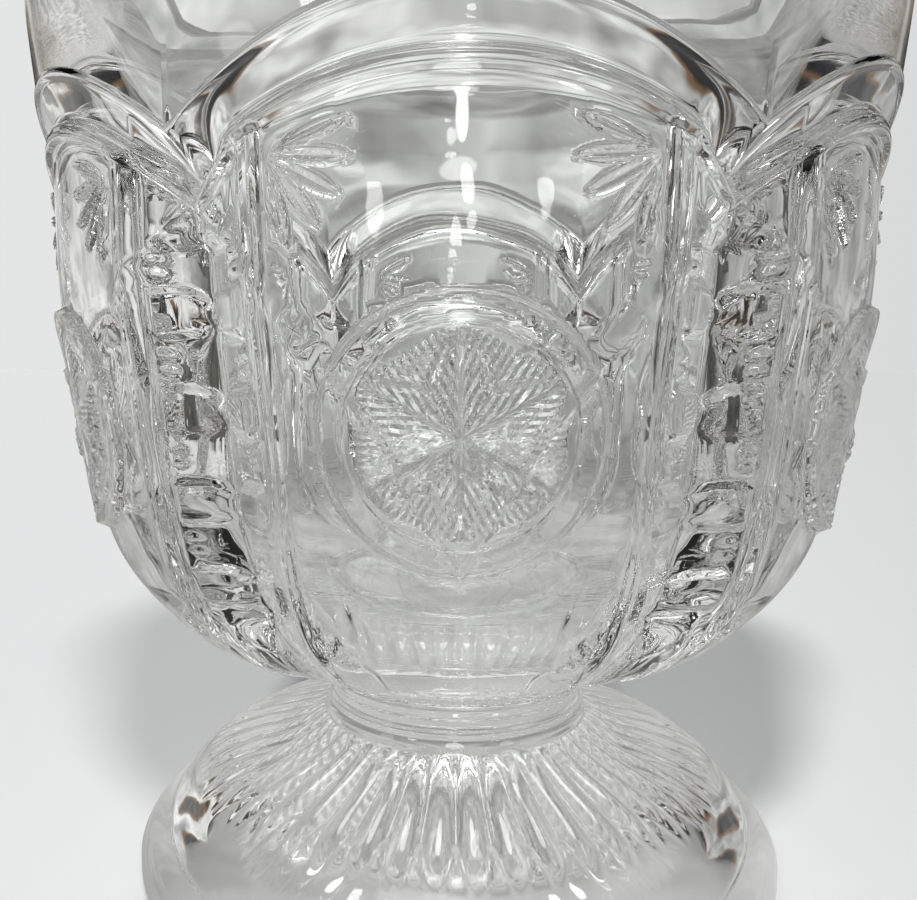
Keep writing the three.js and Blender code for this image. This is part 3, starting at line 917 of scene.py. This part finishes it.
@dataclass(frozen=True)
class Value:
    """A number in a node tree. Arithmetic with values adds Math nodes."""

    book: "NodeBook"
    socket: NodeSocket

    def via(self, operation: str, other: "Value | float | None" = None) -> "Value":
        """Result of any Math operation on this value, such as SQRT or PINGPONG."""
        return self.book.math(operation, self) if other is None else self.book.math(operation, self, other)

    def __add__(self, other: "Value | float") -> "Value":
        """Sum."""
        return self.via("ADD", other)

    def __sub__(self, other: "Value | float") -> "Value":
        """Difference."""
        return self.via("SUBTRACT", other)

    def __rsub__(self, other: float) -> "Value":
        """Difference from a number."""
        return self.book.math("SUBTRACT", other, self)

    def __mul__(self, other: "Value | float") -> "Value":
        """Product."""
        return self.via("MULTIPLY", other)

    def __truediv__(self, other: "Value | float") -> "Value":
        """Quotient."""
        return self.via("DIVIDE", other)

    def __pow__(self, other: float) -> "Value":
        """Power."""
        return self.via("POWER", other)

    def __abs__(self) -> "Value":
        """Size without the sign."""
        return self.via("ABSOLUTE")


class NodeBook:
    """Short calls for building a node tree."""

    def __init__(self, tree: NodeTree) -> None:
        """Keeps the tree that is built."""
        self.tree = tree

    def give(self, target: NodeSocket, value: object) -> None:
        """Links a value or a socket to a socket, or sets a constant on it."""
        source = value.socket if isinstance(value, Value) else value
        if isinstance(source, NodeSocket):
            self.tree.links.new(source, target)
        else:
            target.default_value = source

    def add(
        self, kind: str, inputs: dict[str | int, object] | None = None, **settings: object,
    ) -> Node:
        """Adds a node.

        Args:
            kind: The node's type.
            inputs: A value, a socket or a constant for each input that gets one.
            settings: The node's properties.

        Returns:
            The node.
        """
        node = self.tree.nodes.new(kind)
        for key, value in settings.items():
            setattr(node, key, value)
        for key, value in (inputs or {}).items():
            self.give(node.inputs[key], value)
        return node

    def read(self, node: Node, *names: str) -> list[Value]:
        """A node's outputs as values."""
        return [Value(self, node.outputs[name]) for name in names]

    def math(self, operation: str, *numbers: Value | float) -> Value:
        """Result of a Math node."""
        node = self.add("ShaderNodeMath", dict(enumerate(numbers)), operation=operation)
        return Value(self, node.outputs[0])

    def blend(self, share: Value, first: object, second: object) -> NodeSocket:
        """Blend of two colours, each a socket or three numbers, by a share from 0 to 1."""
        sides = [(*tone, 1) if isinstance(tone, tuple) else tone for tone in (first, second)]
        inputs = {"Factor": share, "A": sides[0], "B": sides[1]}
        return self.add("ShaderNodeMix", inputs, data_type="RGBA").outputs["Result"]

    def scaled(self, tone: NodeSocket, share: Value) -> NodeSocket:
        """A colour times a share."""
        node = self.add("ShaderNodeVectorMath", {0: tone, "Scale": share}, operation="SCALE")
        return node.outputs["Vector"]

    def ramp(self, value: Value, given: tuple[float, float], wanted: tuple[float, float]) -> Value:
        """Straight change of a value from one range to another, held at the ends."""
        limits = dict(zip(("From Min", "From Max", "To Min", "To Max"), (*given, *wanted)))
        return Value(self, self.add("ShaderNodeMapRange", {**limits, "Value": value}).outputs["Result"])

    def step(self, value: Value, low: float, high: float) -> Value:
        """Soft step of a value from 0 at the first limit to 1 at the second."""
        inputs = {"From Min": low, "From Max": high, "Value": value}
        node = self.add("ShaderNodeMapRange", inputs, interpolation_type="SMOOTHSTEP")
        return Value(self, node.outputs["Result"])

    def noise(self, place_at: object, scale: object, detail: float | None = None) -> Value:
        """Noise at a place."""
        inputs = {"Vector": place_at, "Scale": scale}
        if detail is not None:
            inputs["Detail"] = detail
        return Value(self, self.add("ShaderNodeTexNoise", inputs).outputs["Fac"])

    def axes(self, vector: object) -> list[Value]:
        """The three parts of a vector."""
        return self.read(self.add("ShaderNodeSeparateXYZ", {"Vector": vector}), "X", "Y", "Z")

    def glass_ray(self, path: Node) -> Value:
        """1 for a ray that the glass mirrors or lets through."""
        glossy, through = self.read(path, "Is Glossy Ray", "Is Transmission Ray")
        return glossy.via("MAXIMUM", through)

    def shader_mix(self, share: object, first: NodeSocket, second: NodeSocket) -> NodeSocket:
        """Mix of two shaders."""
        return self.add("ShaderNodeMixShader", {"Fac": share, 1: first, 2: second}).outputs["Shader"]


def fresh_book(owner: Material | World) -> NodeBook:
    """Empties the node tree of a material or a world."""
    owner.use_nodes = True
    owner.node_tree.nodes.clear()
    return NodeBook(owner.node_tree)


def new_group(
    name: str, inputs: dict[str, float], outputs: tuple[str, ...],
) -> tuple[NodeBook, dict[str, Value], Node]:
    """Makes an empty node group.

    Args:
        name: Its name.
        inputs: Its inputs, with their defaults.
        outputs: Its outputs.

    Returns:
        Its book, its inputs as values, and its output node.
    """
    tree = bpy.data.node_groups.new(name, "ShaderNodeTree")
    for key, value in inputs.items():
        tree.interface.new_socket(key, in_out="INPUT", socket_type="NodeSocketFloat").default_value = value
    for key in outputs:
        tree.interface.new_socket(key, in_out="OUTPUT", socket_type="NodeSocketFloat")
    book = NodeBook(tree)
    given = dict(zip(inputs, book.read(book.add("NodeGroupInput"), *inputs)))
    return book, given, book.add("NodeGroupOutput")


def ornament_map(book: NodeBook) -> tuple[NodeSocket, Value, Value]:
    """The ornament's own map, and its parts across and up, in units of MAP_UNIT millimetres."""
    flat = book.add("ShaderNodeUVMap", uv_map=MAP_NAME).outputs["UV"]
    across, up, _ = book.axes(flat)
    return flat, across, up


def ripple_group() -> NodeTree:
    """Node group for pressed glass: slow waves of the mould and fine fire-polished unevenness.

    Returns:
        A group with Scale in, and Height and Roughness out.
    """
    book, given, out = new_group("PressedRipple", {"Scale": 90}, ("Height", "Roughness"))
    place_at = book.add("ShaderNodeTexCoord").outputs["Object"]
    slow = book.noise(place_at, given["Scale"], 1.5)
    fine = book.noise(place_at, given["Scale"] * 9.0, 3)
    book.give(out.inputs["Height"], slow + fine * 0.012)
    book.give(out.inputs["Roughness"], book.ramp(fine, (0.45, 0.75), (0.0, 0.035)))
    return book.tree


def feather_group(medal: Medallion) -> NodeTree:
    """Node group for the barbs of the medallion's feathers and the ring's two crisp edges.

    Args:
        medal: The medallion, for its size.

    Returns:
        A group with Pitch in, in millimetres, and Height out.
    """
    book, given, out = new_group("StarFeathers", {"Pitch": 0.8}, ("Height",))
    flat, across_map, up_map = ornament_map(book)
    u = across_map * (MAP_UNIT / medal.widening)
    w = up_map * MAP_UNIT
    rho = (u * u + w * w).via("SQRT")
    sector = FULL_TURN / medal.arms
    fold = (u.via("ARCTAN2", w) + sector / 2).via("FLOORED_MODULO", sector) - sector / 2
    along = rho * fold.via("COSINE")
    across = abs(rho * fold.via("SINE"))
    barb_along, barb_across, wander = 0.48, 0.88, 0.5
    lean = along * barb_along - across * barb_across + book.noise(flat, 45) * wander
    wave = lean.via("PINGPONG", given["Pitch"] * 0.5)
    inside = book.step(rho + across * 0.25, medal.arm_length + 0.6, medal.arm_length - 1.2)
    barbs = wave * (inside * book.step(across, 0.15, 0.45))
    outer_line = book.step(rho, medal.radius - 0.05, medal.radius - 0.4)
    inner_line = book.step(rho, medal.ring_inner - 0.2, medal.ring_inner + 0.1)
    book.give(out.inputs["Height"], barbs + (outer_line + inner_line) * 0.35)
    return book.tree


def leaf_group(panel_centre: float) -> NodeTree:
    """Node group for the crisp rims and cores of a fan's leaves.

    Args:
        panel_centre: Height of the map's origin.

    Returns:
        A group with the fan's sizes in, in millimetres, and Height out.
    """
    names = ("Root X", "Root Z", "Lowest", "Step", "Last", "Length", "Half Width", "Gap")
    book, given, out = new_group("LeafRims", dict.fromkeys(names, 0.0), ("Height",))
    _, across_map, up_map = ornament_map(book)
    dx = given["Root X"] - abs(across_map * MAP_UNIT)
    dz = up_map * MAP_UNIT + panel_centre - given["Root Z"]
    rho = (dx * dx + dz * dz).via("SQRT")
    turn = (dz.via("ARCTAN2", dx) - given["Lowest"]) / given["Step"]
    leaf = turn.via("ROUND").via("MINIMUM", given["Last"]).via("MAXIMUM", 0.0)
    local = (turn - leaf) * given["Step"]
    along = (rho * local.via("COSINE") - given["Gap"]) / given["Length"]
    inside = along.via("MAXIMUM", 0.0).via("MINIMUM", 1.0)
    bow = (inside ** LEAF_SWELL * math.pi).via("SINE")
    half = bow.via("MAXIMUM", 0.0) ** LEAF_FULLNESS * given["Half Width"]
    share = abs(rho * local.via("SINE")) / (half + 0.001)
    rim = book.step(share, 1.0, 0.82) - book.step(share, 0.62, 0.4)
    core = book.step(share, 0.14, 0.0)
    shown = book.step(along, 0.03, 0.12) * book.step(along, 1.0, 0.97)
    book.give(out.inputs["Height"], (rim - core * 0.5) * shown)
    return book.tree


def rib_group(bowl: Bowl) -> NodeTree:
    """Node group for the fine lines along the frames and the inner ridges.

    Args:
        bowl: The bowl, for its sizes.

    Returns:
        A group with Pitch in, in millimetres, and Height out.
    """
    book, given, out = new_group("RibLines", {"Pitch": 0.7}, ("Height",))
    _, across_map, up_map = ornament_map(book)
    x = abs(across_map * MAP_UNIT)
    z = up_map * MAP_UNIT + bowl.medallion.centre
    foot, top = (math.radians(edge) * bowl.panel_radius for edge in bowl.frame_inner)
    half_panel = bowl.half * bowl.panel_radius
    rise = (top - foot) / (bowl.crossing - bowl.panel_foot)
    across = x - ((z - bowl.panel_foot) * rise + foot)
    arch = (1.0 - (x / half_panel) ** bowl.ridge_power) * bowl.ridge_rise + bowl.crossing
    lean = x * (2 * (bowl.arch_rise - bowl.arch_spring) / half_panel ** 2)
    own = (z - arch) / (lean * lean + 1.0).via("SQRT")
    half_pitch = given["Pitch"] * 0.5
    width = bowl.frame_width[1]
    shown = book.step(across, -0.1, 0.05) * book.step(across, width + 0.05, width - 0.1)
    shown = shown * book.step(own, -0.9, -1.3) * book.step(z, bowl.panel_foot + 1, bowl.panel_foot + 4)
    bent = (own + bowl.ridge_half).via("PINGPONG", half_pitch)
    reach = book.step(abs(own), bowl.ridge_half, bowl.ridge_half - 0.15)
    book.give(out.inputs["Height"], across.via("PINGPONG", half_pitch) * shown + bent * reach)
    return book.tree


@dataclass(frozen=True)
class Relief:
    """Fine relief that a finish carves: a node group with Height out, its depth in metres and its inputs."""

    group: NodeTree
    depth: float
    inputs: dict[str, float]


@dataclass(frozen=True)
class PressedGlass:
    """Colourless pressed glass, fire-polished, with a faint cool tint."""

    name: str
    color: Tone = (0.985, 0.99, 0.988)
    ior: float = 1.52
    ripple: float = 0.0001
    ripple_scale: float = 90

    def build(self, ripple: NodeTree, reliefs: tuple[Relief, ...] = ()) -> Material:
        """Makes the material.

        Args:
            ripple: The ripple group.
            reliefs: Fine reliefs of the mould, each with its group, depth and inputs.

        Returns:
            The material.
        """
        material = bpy.data.materials.new(self.name)
        book = fresh_book(material)
        waves = book.add("ShaderNodeGroup", {"Scale": self.ripple_scale}, node_tree=ripple)
        carved = {"Strength": 1, "Distance": self.ripple, "Height": waves.outputs["Height"]}
        last = book.add("ShaderNodeBump", carved).outputs["Normal"]
        for relief in reliefs:
            lines = book.add("ShaderNodeGroup", relief.inputs, node_tree=relief.group).outputs["Height"]
            carved = {"Strength": 1, "Distance": relief.depth, "Height": lines, "Normal": last}
            last = book.add("ShaderNodeBump", carved).outputs["Normal"]
        shader = book.add("ShaderNodeBsdfPrincipled", {
            "Base Color": (*self.color, 1), "Transmission Weight": 1, "IOR": self.ior, "Metallic": 0,
            "Roughness": waves.outputs["Roughness"], "Normal": last,
        })
        book.add("ShaderNodeOutputMaterial", {"Surface": shader.outputs["BSDF"]})
        return material


@dataclass(frozen=True)
class Cloth:
    """Pale cloth-like floor, with painted shade towards the right. Rays of the glass see a painted glow
    instead of its lit colour, without the bowl's own shadow: painted shade near the foot, ahead and behind
    and at the far edges, a lighter glow at the sides, painted light on the left, painted shade on the right,
    and painted folds of light and shade.
    """

    name: str = "pale_floor"
    color: Tone = (0.86, 0.865, 0.87)
    # Painted shade: the floor's colour turns darker towards the right.
    color_right_shaded: Tone = (0.75, 0.755, 0.755)
    # Tones of the painted glow that the glass sees: painted shade near the foot, ahead and behind and at the
    # far edges, and a lighter glow at the sides.
    shade_near_foot: Tone = (0.49, 0.492, 0.48)
    shade_far_middle: Tone = (0.31, 0.31, 0.29)
    glow_far_side: Tone = (0.62, 0.622, 0.605)
    shade_far_edge: Tone = (0.06, 0.058, 0.05)
    # Painted light on the left and painted shade on the right of the glow.
    left_light_gain: float = 1.15
    right_shade_gain: float = 0.76
    right_shade_zone: Span = (-0.1, 0.6)
    foot_shade_zone: Span = (0.05, 0.26)
    side_zone: Span = (0.3, 0.9)
    edge_zone: Span = (1.7, 2.6)
    gain_zone: Span = (-0.8, 0.8)
    # Painted folds of light and shade on the glow.
    fold_light_scale: float = 32
    fold_light_gains: Span = (0.7, 1.3)

    def build(self) -> Material:
        """Makes the material."""
        material = bpy.data.materials.new(self.name)
        book = fresh_book(material)
        where = book.add("ShaderNodeTexCoord").outputs["Object"]
        x, y, _ = book.axes(where)
        side = x / (abs(y) + 0.3)
        shader = book.add("ShaderNodeBsdfPrincipled", {
            # Painted shade: the floor's colour is blended darker towards the right.
            "Base Color": book.blend(book.step(side, *self.right_shade_zone), self.color, self.color_right_shaded),
            "Roughness": 0.9, "Specular IOR Level": 0.1,
        })
        reach = book.read(book.add("ShaderNodeVectorMath", {0: where}, operation="LENGTH"), "Value")[0]
        # Painted light and shade of the glow that the glass sees in place of the lit floor.
        far = book.blend(book.step(abs(side), *self.side_zone), self.shade_far_middle, self.glow_far_side)
        far = book.blend(book.step(abs(side), *self.edge_zone), far, self.shade_far_edge)
        far = book.scaled(far, book.ramp(side, self.gain_zone, (self.left_light_gain, self.right_shade_gain)))
        # Painted shade near the foot.
        glow = book.blend(book.step(reach, *self.foot_shade_zone), self.shade_near_foot, far)
        # Painted folds of light and shade.
        fold_light = book.ramp(book.noise(where, self.fold_light_scale, 2), NOISE_RANGE, self.fold_light_gains)
        # Emission that stands in for the lit floor: a painted glow with painted light and shade, not an even
        # tone.
        even = book.add("ShaderNodeEmission", {"Color": book.scaled(glow, fold_light)}).outputs["Emission"]
        glass_ray = book.glass_ray(book.add("ShaderNodeLightPath"))
        choice = book.shader_mix(glass_ray, shader.outputs["BSDF"], even)
        book.add("ShaderNodeOutputMaterial", {"Surface": choice})
        return material


def direction(azimuth: float, height: float) -> tuple[float, float, float]:
    """Unit vector towards an azimuth and a height in degrees. Azimuth 0 is the camera's side, 90 is +X."""
    turn = math.radians(azimuth)
    rise = math.radians(height)
    return math.sin(turn) * math.cos(rise), -math.cos(turn) * math.cos(rise), math.sin(rise)


@dataclass(frozen=True)
class SoftBox:
    """A soft box far from the bowl, which only the glass shows: its direction, half width and strength."""

    azimuth: float
    height: float
    half_width: float
    strength: float
    core: float = 0.75

    def light(self, book: NodeBook, facing: NodeSocket) -> Value:
        """Brightness that the box adds in the direction that a ray of the glass looks."""
        inputs = {0: facing, 1: direction(self.azimuth, self.height)}
        near = book.read(book.add("ShaderNodeVectorMath", inputs, operation="DOT_PRODUCT"), "Value")[0]
        full = math.cos(math.radians(self.half_width * self.core))
        return book.step(near, math.cos(math.radians(self.half_width)), full) * self.strength


SOFT_BOXES = (
    SoftBox(0.5, 17.5, 2.6, 22),
    SoftBox(1.0, 14.2, 1.8, 16),
    SoftBox(2.0, 9.0, 1.8, 12),
    SoftBox(3.0, 5.2, 1.4, 9),
    SoftBox(0, 33, 8, 8),
    SoftBox(-38, 22, 4, 9),
    SoftBox(36, 20, 4, 9),
    SoftBox(180, 72, 12, 9),
    SoftBox(-20, 62, 14, 2.2),
    SoftBox(48, 30, 7, 3.0),
    SoftBox(-62, 24, 7, 2.6),
    SoftBox(-150, 55, 10, 1.0),
    SoftBox(110, 70, 10, 1.2),
)


@dataclass(frozen=True)
class Flags:
    """Dark flags at both sides of the room: each limit is where it starts and where it is full."""

    edge: Tone = (0.17, 0.1, 0.055)
    middle: Tone = (0.02, 0.02, 0.024)
    slope: float = 0.8
    low_slant: Span = (0.13, 0.19)
    low_side: Span = (0.36, 0.42)
    low_foot: Span = (0.15, 0.22)
    low_top: Span = (0.33, 0.27)
    low_end: Span = (0.62, 0.56)
    high_side: Span = (0.4, 0.48)
    high_foot: Span = (0.375, 0.405)
    wide_side: Span = (0.62, 0.7)
    wide_foot: Span = (0.24, 0.3)
    top: Span = (0.66, 0.54)
    front: Span = (0.14, 0.28)

    def share(self, book: NodeBook, sideways: Value, ahead: Value, up: Value) -> Value:
        """How far a direction lies in a flag, from 0 to 1."""
        slanted = sideways - up * self.slope
        low = book.step(slanted, *self.low_slant) * book.step(sideways, *self.low_side)
        low = low * (book.step(up, *self.low_foot) * book.step(up, *self.low_top))
        low = low * book.step(sideways, *self.low_end)
        high = book.step(sideways, *self.high_side) * book.step(up, *self.high_foot)
        wide = book.step(sideways, *self.wide_side) * book.step(up, *self.wide_foot)
        flag = low.via("MAXIMUM", high.via("MAXIMUM", wide))
        return flag * book.step(up, *self.top) * book.step(ahead, *self.front)


@dataclass
class Studio:
    """The camera at the photograph's place, a pale floor, soft lamps and a plain world."""

    image_width: float = 917
    image_height: float = 900
    focal_pixels: float = 903.3
    centre_x: float = 406.6
    centre_y: float = 451.0
    camera_place: tuple[float, float, float] = (-1.085, -128.17, 70.4)
    pitch_down: float = 5.93
    yaw_left: float = 2.65
    sensor: float = 36.0
    floor_radius: float = 6
    pale: Tone = (0.775, 0.78, 0.785)
    # Painted shade: the backdrop darker towards the right.
    pale_right_shaded: Tone = (0.69, 0.695, 0.695)
    shade: Tone = (0.99, 0.995, 1.0)
    ambient: float = 0.12
    room: Tone = (0.31, 0.312, 0.292)
    room_above: Tone = (0.64, 0.645, 0.625)
    room_side: Tone = (0.62, 0.622, 0.6)
    room_edge: Tone = (0.06, 0.058, 0.05)
    room_back: Tone = (0.12, 0.12, 0.12)
    ceiling: Tone = (0.36, 0.36, 0.35)
    left_light_gain: float = 1.2
    right_shade_gain: float = 0.72
    above_zone: Span = (0.02, 0.12)
    side_zone: Span = (0.5, 0.75)
    edge_zone: Span = (0.86, 0.93)
    ceiling_zone: Span = (0.6, 0.85)
    back_zone: Span = (-0.1, -0.5)
    horizon: Span = (-0.05, 0.05)
    gain_zone: Span = (-0.7, 0.7)
    pale_shade_zone: Span = (-0.1, 0.55)
    flags: Flags = Flags()
    fold_light_scale: tuple[float, float, float] = (7.0, 7.0, 14.0)
    fold_light_gains: Span = (0.45, 1.5)

    def camera(self) -> None:
        """Makes the camera from the fitted focal length and principal point."""
        data = bpy.data.cameras.new("view")
        data.sensor_fit = "HORIZONTAL"
        data.sensor_width = self.sensor
        data.lens = self.focal_pixels / self.image_width * self.sensor
        data.shift_x = (self.image_width / 2 - self.centre_x) / self.image_width
        data.shift_y = (self.centre_y - self.image_height / 2) / self.image_width
        data.clip_start = 0.005
        view = add_object("view", data)
        view.location = Vector(self.camera_place) * MM
        view.rotation_euler = Euler((math.radians(90 - self.pitch_down), 0, math.radians(self.yaw_left)))
        bpy.context.scene.camera = view

    def floor(self) -> None:
        """Makes the surface that the bowl stands on."""
        bm = bmesh.new()
        bmesh.ops.create_circle(bm, segments=96, radius=self.floor_radius, cap_ends=True)
        mesh = bpy.data.meshes.new("floor")
        bm.to_mesh(mesh)
        bm.free()
        floor = add_object("floor", mesh)
        mesh.materials.append(Cloth().build())

    def sun(self, name: str, azimuth: float, height: float, spread: float, strength: float) -> None:
        """Adds a soft, far lamp.

        Args:
            name: Its name.
            azimuth: Degrees from the camera's side towards +X.
            height: Degrees over the horizon.
            spread: Its width in degrees, which softens the shadow.
            strength: Its strength.
        """
        data = bpy.data.lights.new(name, "SUN")
        data.angle = math.radians(spread)
        data.energy = strength
        lamp = add_object(name, data)
        towards = Vector(direction(azimuth, height))
        lamp.rotation_euler = (-towards).to_track_quat("-Z", "Y").to_euler()
        lamp.location = towards * 2
        lamp.visible_glossy = False
        lamp.visible_transmission = False

    def room_tone(self, book: NodeBook, facing: NodeSocket, axes: list[Value]) -> NodeSocket:
        """Colour of the room that the glass shows: soft zones and folds, and dark flags at the sides."""
        x, ahead, up = axes
        sideways = abs(x)
        flag = self.flags.share(book, sideways, ahead, up)
        behind = book.step(ahead, *self.back_zone) * book.step(up, *self.horizon)
        tone = book.blend(book.step(up, *self.above_zone), self.room, self.room_above)
        tone = book.blend(book.step(sideways, *self.side_zone), tone, self.room_side)
        tone = book.blend(book.step(sideways, *self.edge_zone), tone, self.room_edge)
        tone = book.blend(book.step(up, *self.ceiling_zone), tone, self.ceiling)
        tone = book.blend(behind, tone, self.room_back)
        stretch = book.add("ShaderNodeMapping", {"Scale": self.fold_light_scale, "Vector": facing})
        fold_light = book.noise(stretch.outputs["Vector"], 1.0, 2.0)
        tone = book.scaled(tone, book.ramp(fold_light, NOISE_RANGE, self.fold_light_gains))
        tone = book.scaled(tone, book.ramp(x, self.gain_zone, (self.left_light_gain, self.right_shade_gain)))
        tone = book.blend(book.step(flag, 0.0, 0.5), tone, self.flags.edge)
        return book.blend(book.step(flag, 0.5, 1.0), tone, self.flags.middle)

    def world(self) -> None:
        """Makes a pale world, with painted shade towards the right where the camera sees it. The glass sees
        it darker, with dark flags at the sides and soft boxes.
        """
        world = bpy.data.worlds.new("room")
        bpy.context.scene.world = world
        book = fresh_book(world)
        facing = book.add("ShaderNodeTexCoord").outputs["Generated"]
        lit, *others = (box.light(book, facing) for box in SOFT_BOXES)
        for one in others:
            lit = lit + one
        axes = book.axes(facing)
        # Painted shade: the pale backdrop turns darker towards the right.
        edge = book.step(axes[0], *self.pale_shade_zone)
        backgrounds = [
            {"Color": self.room_tone(book, facing, axes)},
            {"Color": (1, 1, 1, 1), "Strength": lit},
            {"Color": book.blend(edge, self.pale, self.pale_right_shaded)},
            {"Color": (*self.shade, 1), "Strength": self.ambient},
        ]
        room, glare, plain, shade = (
            book.add("ShaderNodeBackground", inputs).outputs["Background"] for inputs in backgrounds
        )
        seen = book.add("ShaderNodeAddShader", {0: room, 1: glare}).outputs["Shader"]
        path = book.add("ShaderNodeLightPath")
        lighting = book.shader_mix(book.glass_ray(path), shade, seen)
        shown = book.shader_mix(path.outputs["Is Camera Ray"], lighting, plain)
        book.add("ShaderNodeOutputWorld", {"Surface": shown})

    def build(self) -> None:
        """Sets the whole studio."""
        scene = bpy.context.scene
        scene.view_settings.view_transform = "Standard"
        scene.cycles.max_bounces = 24
        scene.cycles.transmission_bounces = 20
        scene.cycles.glossy_bounces = 8
        self.camera()
        self.floor()
        self.world()
        self.sun("key", azimuth=-17, height=50, spread=8, strength=1.87)
        self.sun("fill", azimuth=19, height=48, spread=10, strength=1.4)


def main() -> None:
    """Builds the bowl, the collar, the foot and the studio, and logs each piece's face count."""
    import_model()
    bowl = Bowl()
    ripple = ripple_group()
    leaves = leaf_group(bowl.medallion.centre)
    reliefs = (
        Relief(feather_group(bowl.medallion), depth=0.0005, inputs={"Pitch": 0.72}),
        Relief(rib_group(bowl), depth=0.0003, inputs={"Pitch": 0.74}),
        *(Relief(leaves, depth=0.00018, inputs=fan.rim_inputs(bowl.root_x(fan))) for fan in bowl.fans),
    )
    ornate = PressedGlass("ornate_glass").build(ripple, reliefs)
    plain = PressedGlass("plain_glass").build(ripple)
    bowl.build(ornate)
    Collar().build(plain)
    Foot().build(plain)
    Studio().build()


if __name__ == "__main__":
    main()
